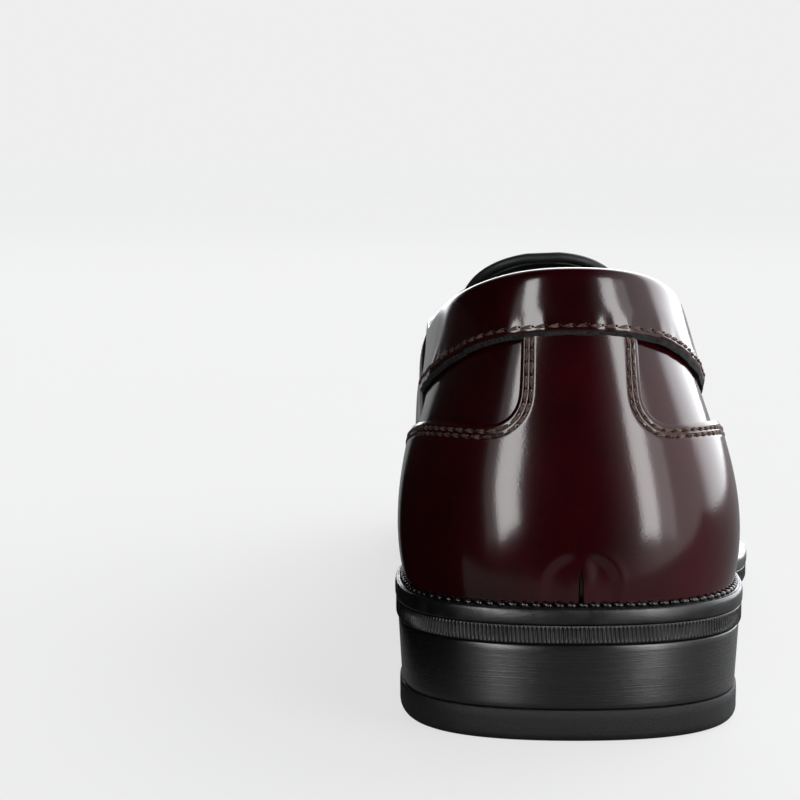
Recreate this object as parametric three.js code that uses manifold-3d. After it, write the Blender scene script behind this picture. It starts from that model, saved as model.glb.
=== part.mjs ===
// Penny loafer for the right foot: a welted sole on a low heel, and a moccasin-toe upper built up
// in layers over one shape of last. Millimetres, +Z up, +Y towards the toe, +X towards the outer
// side of the foot. The origin is at the middle of the footprint, on the ground.
import * as THREE from "three";
import { mergeVertices } from "three/addons/utils/BufferGeometryUtils.js";
import Module from "manifold-3d";

const wasm = await Module();
wasm.setup();

// ---------------------------------------------------------------- driving dimensions
const soleLength = 298; // heel to toe, along the edge of the sole
const ballWidth = 96; // across the sole at its widest
const heelWidth = 73; // across the sole at the heel
const backHeight = 92.5; // ground to the top of the back
const heelRise = 19.6; // ground to the underside of the outsole at the heel
const heelLength = 71; // back of the heel to its breast
const toeSpring = 11; // how far the tip of the sole stands off the ground
const topLiftThickness = 6.4;
const outsoleThickness = 4;
const weltThickness = 3.4;
const weltRingWidth = 13;
const insoleThickness = 2.4;
const sockThickness = 1.2;
const heelPadThickness = 2.5;
const upperLeather = 1.4; // vamp, apron and quarters
const overlayLeather = 1.5; // foxing, collar and strap
const liningLeather = 1;
const stiffener = 1.2; // counter, toe puff and collar padding
const weltReachHeel = 3.8; // from the edge of the sole in to the quarters, at the heel
const weltReachBall = 6.5; // the same at the ball and the toe
const backStripWidth = 24.5; // the foxing's upright strip at the top
const foxingHeight = 35; // ground to the foxing's wings, above the feather line
const foxingLength = soleLength * 0.35; // back of the heel to the front of the foxing
const strapRear = soleLength * 0.44; // back of the heel to the strap's rear edge, on the instep
const strapWidth = 29; // on the instep
const strapFootRear = soleLength * 0.426; // back of the heel to the rear edge, at the welt
const strapFootWidth = 44; // at the welt
const quarterLength = soleLength * 0.515; // back of the heel to the vamp, under the strap
const tongueEnd = soleLength * 0.396; // back of the heel to the end of the tongue
const tongueHalfWidth = ballWidth * 0.26;
const slotLength = 34;
const slotWidth = 8;
const shankLength = soleLength * 0.35;
const shankWidth = 15;
const shankThickness = 1.5;
const nailRadius = 0.9;
const nailHeadRadius = 2.2;
const gap = 0.3; // between pieces that touch

// ---------------------------------------------------------------- the shape of the last
// One row per station round the foot, from the middle of the heel along the outer side to the
// toe and back along the inner side:
// [sole x, sole y, top edge x, top edge y, top edge height, low bulge, high bulge].
const stations = [
  [0, -3, 0, 8.5, 93.6, 5.5, 3],
  [22, 0, 12.5, 11, 92.8, 8, 2.2],
  [37, 14, 20.5, 24, 88, 9, 1.8],
  [38.5, 42, 24, 48, 82, 8.8, 2],
  [36, 78, 27.5, 78, 75, 8, 2.2],
  [41, 115, 29.5, 108, 73, 7, 3],
  [54, 150, 31, 140, 71, 7, 5],
  [64, 185, 36.5, 178, 60, 8, 8],
  [64, 220, 37, 212, 50, 8.5, 8.5],
  [55, 258, 31, 244, 45, 8.5, 8.5],
  [40, 286, 21.5, 267, 43, 8, 8],
  [7, 303, 4, 279, 43, 8, 7.5],
  [-23, 289, -13, 270, 43, 8, 8],
  [-34, 262, -21, 248, 45, 8.5, 8.5],
  [-37, 228, -24.5, 219, 50, 8.5, 8.5],
  [-35, 195, -25.5, 188, 58, 8, 8],
  [-27.5, 158, -26.5, 152, 71, 8, 6],
  [-24, 122, -27, 118, 73.5, 8.5, 3],
  [-30, 84, -27, 82, 76.5, 8, 2],
  [-37.5, 46, -25.5, 50, 82.5, 8, 0.8],
  [-37, 14, -22, 24, 88, 8, 0.8],
  [-22, 0, -12.5, 11, 92.8, 7.6, 2.2],
];
// The line of the sole's underside, as shares of the heel's rise and of the toe's spring, evenly
// spaced from heel to toe.
const heelShare = [1, 1, 1, 1, 1, 0.52, 0.16, 0, 0, 0, 0, 0, 0];
const springShare = [0, 0, 0, 0, 0, 0, 0, 0, 0, 0, 0.14, 0.5, 1];
// The ridge of the apron, evenly spaced from the tongue's end to the toe: its height, where it
// lies across the foot, and how far it falls away over half the ball's width.
const ridgeHeight = [93.7, 84.3, 75, 66, 58.5, 52.5, 48, 44.5, 41.5];
const ridgeCentre = [0, 0.5, 1.5, 2.5, 3.5, 4, 4, 4, 4];
const ridgeFall = [49, 48, 43, 35, 28.5, 23, 19, 16, 14];
const ridgeStart = 0.393; // as shares of the sole's length
const ridgeEnd = 0.953;

// ---------------------------------------------------------------- splines
// The weights of the four control values round a point, for a uniform cubic B-spline.
function splineWeights(f) {
  return [
    (1 - f) ** 3 / 6,
    (3 * f ** 3 - 6 * f ** 2 + 4) / 6,
    (-3 * f ** 3 + 3 * f ** 2 + 3 * f + 1) / 6,
    f ** 3 / 6,
  ];
}

// A closed spline through the column of the station table, at t from 0 to 1 round the foot.
function loopValue(column, t) {
  const count = stations.length;
  const place = (((t % 1) + 1) % 1) * count;
  const first = Math.floor(place);
  return splineWeights(place - first).reduce(
    (sum, weight, k) => sum + weight * stations[(first - 1 + k + count) % count][column],
    0,
  );
}

// An open spline, at s from 0 to 1. It runs straight on past its ends.
function lineValue(values, s) {
  const last = values.length - 1;
  const place = Math.min(Math.max(s, 0), 1) * last;
  const first = Math.min(Math.floor(place), last - 1);
  const at = (i) => {
    if (i < 0) return 2 * values[0] - values[1];
    if (i > last) return 2 * values[last] - values[last - 1];
    return values[i];
  };
  return splineWeights(place - first).reduce((sum, w, k) => sum + w * at(first - 1 + k), 0);
}

const mix = (a, b, share) => a + (b - a) * share;
const smooth = (low, high, value) => {
  const s = Math.min(Math.max((value - low) / (high - low), 0), 1);
  return s * s * (3 - 2 * s);
};

// ---------------------------------------------------------------- scaling the last to size
const fineSteps = 2000;
const rawLoop = Array.from({ length: fineSteps }, (_, i) => [
  loopValue(0, i / fineSteps),
  loopValue(1, i / fineSteps),
]);
const spanOf = (values) => Math.max(...values) - Math.min(...values);
const rawBack = Math.min(...rawLoop.map((p) => p[1]));
const rawLength = spanOf(rawLoop.map((p) => p[1]));
const rawBallWidth = spanOf(rawLoop.map((p) => p[0]));
const rawHeelWidth = spanOf(rawLoop.filter((p) => p[1] < rawLength / 4).map((p) => p[0]));
const lengthScale = soleLength / rawLength;
const heightScale = backHeight / loopValue(4, 0);

const scaleY = (y) => (y - rawBack) * lengthScale;
const scaleX = (x, y) =>
  x * mix(heelWidth / rawHeelWidth, ballWidth / rawBallWidth,
    smooth(soleLength * 0.25, soleLength * 0.6, y));

const soleLine = (y) =>
  heelRise * lineValue(heelShare, y / soleLength) + toeSpring * lineValue(springShare, y / soleLength);
const weltTop = (y) => soleLine(y) + outsoleThickness + gap + weltThickness;

// The edge of the sole at t, pulled in by an inset.
function soleEdge(t, inset = 0) {
  const at = (u) => {
    const y = scaleY(loopValue(1, u));
    return new THREE.Vector2(scaleX(loopValue(0, u), y), y);
  };
  const along = at(t + 0.0005).sub(at(t - 0.0005)).normalize();
  const outward = new THREE.Vector2(along.y, -along.x);
  return { point: at(t).addScaledVector(outward, -inset), outward };
}

// The first value between near and far at which a rising measure reaches its target.
function search(near, far, target, measure) {
  for (let step = 0; step < 40; step++) {
    const middle = (near + far) / 2;
    if (measure(middle) < target) near = middle;
    else far = middle;
  }
  return near;
}

// Where a side of the foot, outer or inner, reaches y: on the sole's edge, and on the top edge.
function stationAt(y, side) {
  const t = search(0, 0.5, y, (u) => soleEdge(side === "outer" ? u : 1 - u).point.y);
  return side === "outer" ? t : 1 - t;
}
function topStationAt(y, side) {
  const t = search(0, 0.5, y, (u) => topPoint(side === "outer" ? u : 1 - u).y);
  return side === "outer" ? t : 1 - t;
}

// ---------------------------------------------------------------- the apron's surface
function apronHeight(x, y) {
  const s = (y / soleLength - ridgeStart) / (ridgeEnd - ridgeStart);
  const across = (x - lineValue(ridgeCentre, s)) / (ballWidth / 2);
  return heightScale * (lineValue(ridgeHeight, s) - lineValue(ridgeFall, s) * across ** 2);
}

// A point on the apron, a depth outwards of its face.
function apronPoint(x, y, depth) {
  const step = 0.05;
  const normal = new THREE.Vector3(
    (apronHeight(x - step, y) - apronHeight(x + step, y)) / (2 * step),
    (apronHeight(x, y - step) - apronHeight(x, y + step)) / (2 * step),
    1,
  ).normalize();
  return new THREE.Vector3(x, y, apronHeight(x, y)).addScaledVector(normal, depth);
}

// ---------------------------------------------------------------- the walls' surface
// From the edge of the sole in to the upper.
const weltReach = (y) =>
  mix(weltReachHeel, weltReachBall, smooth(soleLength * 0.2, soleLength * 0.6, y));

// The bottom of the upper, on the welt.
function featherPoint(t) {
  const { point } = soleEdge(t, weltReach(soleEdge(t).point.y));
  return new THREE.Vector3(point.x, point.y, weltTop(point.y) + gap);
}

// The top of the walls: the line of the opening behind the instep, and the apron's seam before it.
function topPoint(t) {
  const y = scaleY(loopValue(3, t));
  const x = scaleX(loopValue(2, t), y);
  const share = smooth(soleLength * 0.38, soleLength * 0.44, y);
  const opening = loopValue(4, t) * heightScale;
  return new THREE.Vector3(x, y, mix(opening, apronHeight(x, y), share));
}

function wallFace(t, v) {
  const low = featherPoint(t);
  const high = topPoint(t);
  const { outward } = soleEdge(t);
  const bulge = 3 * (1 - v) ** 2 * v * loopValue(5, t) + 3 * (1 - v) * v ** 2 * loopValue(6, t);
  const point = low.clone().lerp(high, v);
  point.x += outward.x * bulge;
  point.y += outward.y * bulge;
  return point;
}

// A point on the walls: t round the foot, v from the welt to the top, depth outwards. Every
// layer stands level on the welt.
function wallPoint(t, v, depth) {
  const along = wallFace(t + 0.001, v).sub(wallFace(t - 0.001, v));
  const up = wallFace(t, v + 0.01).sub(wallFace(t, v - 0.01));
  const normal = along.cross(up).normalize();
  normal.z *= smooth(0, 0.12, v);
  return wallFace(t, v).addScaledVector(normal.normalize(), depth);
}

// ---------------------------------------------------------------- making closed solids
// A closed body from vertices and faces, with its faces turned outwards.
function closedBody(points, faces) {
  const geometry = new THREE.BufferGeometry();
  const positions = faces.flatMap((face) => face.flatMap((i) => points[i].toArray()));
  geometry.setAttribute("position", new THREE.Float32BufferAttribute(positions, 3));
  const merged = mergeVertices(geometry, 1e-3);
  const index = merged.index.array;
  const kept = [];
  for (let i = 0; i < index.length; i += 3) {
    const [a, b, c] = index.slice(i, i + 3);
    if (a !== b && b !== c && c !== a) kept.push(a, b, c);
  }
  if (volumeOf(merged, kept) < 0) kept.reverse();
  merged.setIndex(kept);
  return merged;
}

function volumeOf(geometry, index) {
  const at = (i) => new THREE.Vector3().fromBufferAttribute(geometry.attributes.position, i);
  let sum = 0;
  for (let i = 0; i < index.length; i += 3)
    sum += at(index[i]).dot(at(index[i + 1]).cross(at(index[i + 2]))) / 6;
  return sum;
}

// A sheet of leather: place(s, r, face) gives its outer (face 1) and inner (face 0) points, with
// s along it and r across it, each from 0 to 1.
function sheetSolid(place, columns, rows) {
  const points = [];
  const id = (face, i, j) => (face * (columns + 1) + i) * (rows + 1) + j;
  for (const face of [0, 1])
    for (let i = 0; i <= columns; i++)
      for (let j = 0; j <= rows; j++) points.push(place(i / columns, j / rows, face));
  const faces = [];
  const quad = (a, b, c, d) => faces.push([a, b, c], [a, c, d]);
  for (let i = 0; i < columns; i++)
    for (let j = 0; j < rows; j++) {
      quad(id(1, i, j), id(1, i + 1, j), id(1, i + 1, j + 1), id(1, i, j + 1));
      quad(id(0, i, j), id(0, i, j + 1), id(0, i + 1, j + 1), id(0, i + 1, j));
    }
  for (let i = 0; i < columns; i++) {
    quad(id(0, i, 0), id(0, i + 1, 0), id(1, i + 1, 0), id(1, i, 0));
    quad(id(1, i, rows), id(1, i + 1, rows), id(0, i + 1, rows), id(0, i, rows));
  }
  for (let j = 0; j < rows; j++) {
    quad(id(1, 0, j), id(1, 0, j + 1), id(0, 0, j + 1), id(0, 0, j));
    quad(id(0, columns, j), id(0, columns, j + 1), id(1, columns, j + 1), id(1, columns, j));
  }
  return closedBody(points, faces);
}

// A body swept round a closed or open run of t: section(t) gives its outline's points.
function sweptSolid(section, from, to, steps, closed) {
  const rings = [];
  for (let i = 0; i < steps + (closed ? 0 : 1); i++) rings.push(section(mix(from, to, i / steps)));
  const width = rings[0].length;
  const points = rings.flat();
  const faces = [];
  const id = (i, k) => (i % rings.length) * width + (k % width);
  for (let i = 0; i < steps; i++)
    for (let k = 0; k < width; k++)
      faces.push(
        [id(i, k), id(i + 1, k), id(i + 1, k + 1)],
        [id(i, k), id(i + 1, k + 1), id(i, k + 1)],
      );
  if (!closed) {
    for (let k = 1; k < width - 1; k++) {
      faces.push([id(0, 0), id(0, k), id(0, k + 1)]);
      faces.push([id(steps, 0), id(steps, k + 1), id(steps, k)]);
    }
  }
  return closedBody(points, faces);
}

// A plate through rings of points that run from the heel to the toe up the outer side and back
// down the inner side. It is capped straight across at its first and last ring.
const soleSteps = 72;
function ringedPlate(rings) {
  const id = (ring, i) => ring * soleSteps + (i % soleSteps);
  const faces = [];
  for (let ring = 0; ring < rings.length - 1; ring++)
    for (let i = 0; i < soleSteps; i++)
      faces.push(
        [id(ring, i), id(ring, i + 1), id(ring + 1, i + 1)],
        [id(ring, i), id(ring + 1, i + 1), id(ring + 1, i)],
      );
  const top = rings.length - 1;
  for (let i = 0; i < soleSteps / 2; i++) {
    const other = soleSteps - i;
    faces.push([id(0, i), id(0, other), id(0, other - 1)], [id(0, i), id(0, other - 1), id(0, i + 1)]);
    faces.push(
      [id(top, i), id(top, other - 1), id(top, other)],
      [id(top, i), id(top, i + 1), id(top, other - 1)],
    );
  }
  return closedBody(rings.flat(), faces);
}

// A plate in the shape of the sole: each ring is the sole's edge pulled in by an inset, at a
// height that may follow y.
function plateSolid(rings) {
  return ringedPlate(rings.map(({ inset, height }) =>
    Array.from({ length: soleSteps }, (_, i) => {
      const { point } = soleEdge(i / soleSteps, inset);
      return new THREE.Vector3(point.x, point.y, height(point.y));
    }),
  ));
}

// ---------------------------------------------------------------- joins and cuts
function toManifold(geometry) {
  const bare = geometry.clone();
  bare.deleteAttribute("normal");
  bare.deleteAttribute("uv");
  const merged = mergeVertices(bare, 1e-4);
  return new wasm.Manifold(
    new wasm.Mesh({
      numProp: 3,
      vertProperties: new Float32Array(merged.attributes.position.array),
      triVerts: new Uint32Array(merged.index.array),
    }),
  );
}

function fromManifold(manifold) {
  const mesh = manifold.getMesh();
  const geometry = new THREE.BufferGeometry();
  geometry.setAttribute("position", new THREE.BufferAttribute(mesh.vertProperties, 3));
  geometry.setIndex(new THREE.BufferAttribute(mesh.triVerts, 1));
  return geometry;
}

const cut = (geometry, ...tools) =>
  fromManifold(tools.reduce((body, tool) => body.subtract(toManifold(tool)), toManifold(geometry)));
const keepInside = (geometry, tool) =>
  fromManifold(toManifold(geometry).intersect(toManifold(tool)));

// A box that holds everything between two values of y.
function slab(fromY, toY) {
  return new THREE.BoxGeometry(4 * ballWidth, toY - fromY, 4 * backHeight)
    .translate(0, (fromY + toY) / 2, 0);
}

// ---------------------------------------------------------------- the assembly
const loafer = new THREE.Group();
const finishes = {
  burgundyLeather: { color: 0x3a0710, roughness: 0.18, metalness: 0 },
  blackLeather: { color: 0x0d0e0e, roughness: 0.5, metalness: 0 },
  soleLeather: { color: 0x191817, roughness: 0.45, metalness: 0 },
  rubber: { color: 0x141515, roughness: 0.8, metalness: 0 },
  cork: { color: 0x9a7248, roughness: 0.95, metalness: 0 },
  board: { color: 0xb0926a, roughness: 0.85, metalness: 0 },
  foam: { color: 0xd8cfae, roughness: 0.95, metalness: 0 },
  steel: { color: 0x9a9c9e, roughness: 0.35, metalness: 1 },
};

function add(name, geometry, finish) {
  const mesh = new THREE.Mesh(geometry, new THREE.MeshStandardMaterial(finishes[finish]));
  mesh.name = name;
  loafer.add(mesh);
}

// ---------------------------------------------------------------- nails
// Five nails hold the heel on, driven from inside the shoe through the insole into the block.
const nailTop = heelRise + outsoleThickness + weltThickness + insoleThickness + 3 * gap;
const nailLength = nailTop - topLiftThickness - 4; // their points stop clear of the top lift
const nailHead = 1.2;
const nailSides = 10;
const nailCentre = heelLength * 0.48;
const nailCircle = heelWidth * 0.24;
const nailPlaces = Array.from({ length: 5 }, (_, i) => {
  const angle = -Math.PI / 2 + (i * 2 * Math.PI) / 5;
  return [Math.cos(angle) * nailCircle, nailCentre + Math.sin(angle) * nailCircle];
});

// A nail, or with a clearance the hole for one.
function nailShape(place, clearance) {
  const profile = [
    [0, -nailLength - clearance],
    [nailRadius + clearance, -nailLength + (clearance ? -clearance : 2)],
    [nailRadius + clearance, -nailHead - clearance],
    [nailHeadRadius + clearance, -nailHead - clearance],
    [nailHeadRadius + clearance, clearance],
    [0, clearance],
  ].map(([r, z]) => new THREE.Vector2(r, z));
  return new THREE.LatheGeometry(profile, nailSides)
    .rotateX(Math.PI / 2)
    .translate(place[0], place[1], nailTop);
}

const nailHoles = nailPlaces.map((place) => nailShape(place, gap));
nailPlaces.forEach((place, i) => add(`heel_nail_${i + 1}`, nailShape(place, 0), "steel"));

// ---------------------------------------------------------------- heel
const liftInset = 1.3; // the top lift against the edge of the sole
const blockInsetTop = 0.5;
const blockInsetFoot = 1.7;
const liftRounding = 1.4;
const breastCurve = 160; // radius of the heel's hollow front

// The heel's parts end in a shallow hollow at the front.
function heelPart(rings) {
  const hollow = new THREE.CylinderGeometry(breastCurve, breastCurve, 3 * heelRise, 96)
    .rotateX(Math.PI / 2)
    .translate(0, heelLength + breastCurve - 3, heelRise / 2);
  return cut(keepInside(plateSolid(rings), slab(-10, heelLength + 5)), hollow);
}

add("top_lift", heelPart([
  { inset: liftInset + liftRounding, height: () => 0 },
  { inset: liftInset + liftRounding * 0.3, height: () => liftRounding * 0.3 },
  { inset: liftInset, height: () => liftRounding },
  { inset: liftInset, height: () => topLiftThickness },
]), "rubber");

add("heel_block", cut(heelPart([
  { inset: blockInsetFoot, height: () => topLiftThickness + gap },
  { inset: blockInsetTop, height: () => heelRise - gap },
]), ...nailHoles), "soleLeather");

// ---------------------------------------------------------------- sole
const outsoleBevel = 0.8;
add("outsole", cut(plateSolid([
  { inset: outsoleBevel + 0.3, height: soleLine },
  { inset: 0.3, height: (y) => soleLine(y) + outsoleBevel },
  { inset: 0.3, height: (y) => soleLine(y) + outsoleThickness },
]), ...nailHoles), "soleLeather");

const weltBase = (y) => soleLine(y) + outsoleThickness + gap;
const weltSection = [
  [0.4, 0],
  [0, weltThickness * 0.4],
  [0.4, weltThickness * 0.85],
  [1.3, weltThickness],
  [weltRingWidth, weltThickness],
  [weltRingWidth, 0],
];
const weltRing = sweptSolid((t) => weltSection.map(([inset, height]) => {
  const { point } = soleEdge(t, inset);
  return new THREE.Vector3(point.x, point.y, weltBase(point.y) + height);
}), 0, 1, soleSteps, true);

// The shank stiffens the waist, let into the filling between outsole and insole.
const shankRear = heelLength * 0.62;
const shankSteps = 14;
function shankShape(clearance) {
  const section = (s) => {
    const y = mix(shankRear - clearance, shankRear + shankLength + clearance, s);
    const centre = -3 * smooth(heelLength, shankRear + shankLength, y);
    const half = shankWidth / 2 + clearance;
    const low = weltBase(y) + 0.9 - clearance;
    const high = weltBase(y) + 0.9 + shankThickness + clearance;
    return [[-half, low], [half, low], [half, high], [-half, high]]
      .map(([x, z]) => new THREE.Vector3(centre + x, y, z));
  };
  return sweptSolid(section, 0, 1, shankSteps, false);
}
// A wide ring reaches over the shank at the waist, so it is let in there too.
add("welt", cut(weltRing, shankShape(gap)), "soleLeather");
add("shank", cut(shankShape(0), ...nailHoles), "steel");

const fillerInset = weltRingWidth + gap;
const filler = plateSolid([
  { inset: fillerInset, height: (y) => weltBase(y) },
  { inset: fillerInset, height: (y) => weltBase(y) + weltThickness - gap },
]);
const fillerSplit = soleLength * 0.4;
add("cork_filler", cut(keepInside(filler, slab(fillerSplit + gap / 2, soleLength)), shankShape(gap)), "cork");
add("heel_seat_filler",
  cut(keepInside(filler, slab(0, fillerSplit - gap / 2)), shankShape(gap), ...nailHoles), "board");

// The insole, the heel pad and the sock lie inside the lining and follow its edge.
const layersIn = upperLeather + stiffener + liningLeather + 3 * gap;
function footRing(extra, height) {
  return Array.from({ length: soleSteps }, (_, i) => {
    const t = i / soleSteps;
    const { point } = soleEdge(t, weltReach(soleEdge(t).point.y) + layersIn + extra);
    return new THREE.Vector3(point.x, point.y, weltTop(point.y) + height(point.y));
  });
}
const footbed = (extra, low, high) => ringedPlate([footRing(extra, low), footRing(extra, high)]);

const insoleTop = gap + insoleThickness;
add("insole", cut(footbed(gap, () => gap, () => insoleTop), ...nailHoles), "board");

const padFront = heelLength + 4;
const padBase = insoleTop + 2 * gap;
add("heel_pad", keepInside(
  footbed(4, () => padBase, () => padBase + heelPadThickness - gap), slab(0, padFront)), "foam");

// The sock covers the whole insole and rises over the heel pad.
const sockBase = (y) => padBase + (heelPadThickness + gap) * (1 - smooth(padFront + 8, padFront + 24, y));
add("sock_liner", footbed(0.8, sockBase, (y) => sockBase(y) + sockThickness), "blackLeather");

// ---------------------------------------------------------------- upper: walls
const seamOuter = stationAt(quarterLength, "outer");
const seamInner = stationAt(quarterLength, "inner");
const seamGap = 0.0006; // a gap, as a share of the way round the foot

// A layer of the walls over a run of t, from the low to the high end of v.
function wallLayer(from, to, low, high, inner, outer, columns, rows) {
  return sheetSolid((s, r, face) => {
    const t = mix(from, to, s);
    return wallPoint(t, mix(low(t), high(t), r), face ? outer : inner);
  }, columns, rows);
}
const always = (value) => () => value;

const liningOut = -(upperLeather + stiffener + 2 * gap);
const stiffenerOut = -(upperLeather + gap);
const backSeamGap = 0.0005;

add("quarter_outer", wallLayer(backSeamGap, seamOuter - seamGap, always(0), always(1),
  -upperLeather, 0, 22, 8), "burgundyLeather");
add("quarter_inner", wallLayer(seamInner + seamGap, 1 - backSeamGap, always(0), always(1),
  -upperLeather, 0, 22, 8), "burgundyLeather");
add("vamp", wallLayer(seamOuter + seamGap, seamInner - seamGap, always(0), always(1),
  -upperLeather, 0, 38, 8), "burgundyLeather");
add("quarter_lining", wallLayer(seamInner + seamGap, 1 + seamOuter - seamGap, always(0), always(0.97),
  liningOut - liningLeather, liningOut, 40, 6), "blackLeather");
add("vamp_lining", wallLayer(seamOuter + seamGap, seamInner - seamGap, always(0), always(0.93),
  liningOut - liningLeather, liningOut, 34, 6), "blackLeather");

const counterFront = soleLength * 0.3;
add("heel_counter", wallLayer(stationAt(counterFront, "inner"), 1 + stationAt(counterFront, "outer"),
  always(0.03), always(0.6), stiffenerOut - stiffener, stiffenerOut, 26, 4), "board");
const puffRear = soleLength * 0.83;
add("toe_puff", wallLayer(stationAt(puffRear, "outer"), stationAt(puffRear, "inner"),
  always(0.03), always(0.9), stiffenerOut - stiffener, stiffenerOut, 28, 4), "board");
const paddingFront = soleLength * 0.38;
add("collar_padding", wallLayer(stationAt(paddingFront, "inner"), 1 + stationAt(paddingFront, "outer"),
  always(0.72), always(0.96), stiffenerOut - stiffener, stiffenerOut, 28, 2), "foam");

// ---------------------------------------------------------------- upper: collar
// The collar is turned over the top of the back: a broad leg outside, a short one inside. It
// ends against the strap.
const collarOut = gap + overlayLeather;
const collarIn = liningOut - liningLeather - gap;
const collarLegBack = 11.5; // height of the outer leg at the back
const collarLegSide = 17; // and along the sides
const collarTurn = 1.6; // how far the turned edge stands above the walls
const collarFlare = 0.4; // how far the lower edge stands off the quarters
const collarInnerLow = 0.93; // the lower end of the inner leg, as a share of the wall
const strapClearance = 0.001; // as a share of the way round the foot

// The strap's edge on the walls: q 0 is its rear edge and q 1 its front edge.
function strapStation(q, v, side) {
  const foot = stationAt(strapFootRear + strapFootWidth * q, side);
  const top = topStationAt(strapRear + strapWidth * q, side);
  return mix(foot, top, v);
}
const strapRearTop = { outer: strapStation(0, 1, "outer"), inner: strapStation(0, 1, "inner") };
const strapRearFoot = { outer: strapStation(0, 0, "outer"), inner: strapStation(0, 0, "inner") };

function collarLow(t) {
  const top = topPoint(t);
  const leg = mix(collarLegBack, collarLegSide, smooth(0, soleLength * 0.16, top.y));
  return 1 - leg / (top.z - featherPoint(t).z);
}

// A point on the collar. Near its ends it leans with the strap's rear edge.
function collarPoint(t, v, depth) {
  const side = t < 0 ? "inner" : "outer";
  const end = side === "inner" ? strapRearTop.inner - 1 : strapRearTop.outer;
  const lean = (strapRearFoot[side] - strapRearTop[side]) * (1 - v);
  return wallPoint(t + lean * smooth(0.4, 1, t / end), v, depth);
}

function collarSection(t) {
  const low = collarLow(t);
  const up = wallFace(t, 1).sub(wallFace(t, 0.98)).normalize();
  const at = (v, depth, rise = 0) => collarPoint(t, v, depth).addScaledVector(up, rise);
  const legSteps = 3;
  const leg = (depth) => Array.from({ length: legSteps + 1 }, (_, i) => {
    const share = i / legSteps;
    return at(mix(low, 1, share), depth + collarFlare * (1 - share));
  });
  return [
    ...leg(collarOut),
    at(1, collarOut * 0.4, collarTurn),
    at(1, collarIn * 0.5, collarTurn + 0.5),
    at(1, collarIn - liningLeather * 0.6, collarTurn * 0.7),
    at(collarInnerLow, collarIn - liningLeather),
    at(collarInnerLow, collarIn),
    at(1, collarIn, gap),
    at(1, gap, gap),
    ...leg(gap).reverse().slice(1),
  ];
}
add("collar", sweptSolid(collarSection, strapRearTop.inner - 1 + strapClearance,
  strapRearTop.outer - strapClearance, 52, false), "burgundyLeather");

// ---------------------------------------------------------------- upper: heel foxing
// The foxing's outline, from the foot of one wing's front, along the wing, up the strip beside
// the back seam, and the same way down the other side. Its wings end in a curve at the front.
const foxingFilletV = 0.09;
function foxingSolid() {
  const front = stationAt(foxingLength, "outer");
  const stripHalf = backStripWidth / 2;
  const stripT = search(0, 0.1, stripHalf, (t) => wallFace(t, 0.75).x);
  const vOf = (t, z) => (z - featherPoint(t).z) / (topPoint(t).z - featherPoint(t).z);
  const wingV = (t) => vOf(t, weltTop(0) + foxingHeight - 14 * smooth(0, foxingLength, soleEdge(t).point.y));
  const stripTop = (t) => collarLow(t) - 1.5 * gap / (topPoint(t).z - featherPoint(t).z);
  // Half the outline, from the wing's front (share 0) to the middle of the back (share 1).
  const half = (share) => {
    if (share < 0.16) {
      const turn = (share / 0.16) * (Math.PI / 2);
      const t = front - (1 - Math.cos(turn)) * 0.02;
      return [t, wingV(front - 0.02) * Math.sin(turn)];
    }
    if (share < 0.6) {
      const t = mix(front - 0.02, stripT + 0.011, (share - 0.16) / 0.44);
      return [t, wingV(t)];
    }
    if (share < 0.72) {
      const turn = ((share - 0.6) / 0.12) * (Math.PI / 2);
      const v = wingV(stripT + 0.011) + foxingFilletV * (1 - Math.cos(turn));
      return [stripT + 0.011 * (1 - Math.sin(turn)), v];
    }
    if (share < 0.88) {
      const low = wingV(stripT + 0.011) + foxingFilletV;
      return [stripT, mix(low, stripTop(stripT), (share - 0.72) / 0.16)];
    }
    const t = stripT * (1 - (share - 0.88) / 0.12);
    return [t, stripTop(t)];
  };
  // The foot of the line that reaches the outline at each share.
  const feet = [
    [0, front],
    [0.16, front - 0.014],
    [0.6, stripT + 0.02],
    [0.72, stripT + 0.006],
    [0.88, stripT * 0.75],
    [1, 0],
  ];
  const footOf = (share) => {
    const next = Math.max(feet.findIndex(([end]) => end >= share), 1);
    const [[low, from], [high, to]] = [feet[next - 1], feet[next]];
    return mix(from, to, (share - low) / (high - low));
  };
  return sheetSolid((s, r, face) => {
    const side = s < 0.5 ? 1 : -1;
    const share = s < 0.5 ? 2 * s : 2 - 2 * s;
    const [t, v] = half(share);
    const foot = footOf(share);
    const depth = face ? gap + overlayLeather : gap;
    return wallPoint(side * mix(foot, t, r), v * r, depth);
  }, 64, 7);
}

add("heel_foxing", foxingSolid(), "burgundyLeather");

// ---------------------------------------------------------------- upper: apron and tongue
const seamInset = upperLeather + gap + 0.5; // the apron's edge, inside the vamp's rim
const apronSeamEnd = quarterLength + 8; // where the seam ends and the tongue runs on
function topLoop(t, inset) {
  const at = (u) => topPoint(u);
  const along = at(t + 0.001).sub(at(t - 0.001));
  const outward = new THREE.Vector2(along.y, -along.x).normalize();
  return new THREE.Vector2(at(t).x - outward.x * inset, at(t).y - outward.y * inset);
}
const apronOuter = topStationAt(apronSeamEnd, "outer");
const apronInner = topStationAt(apronSeamEnd, "inner");

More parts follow.
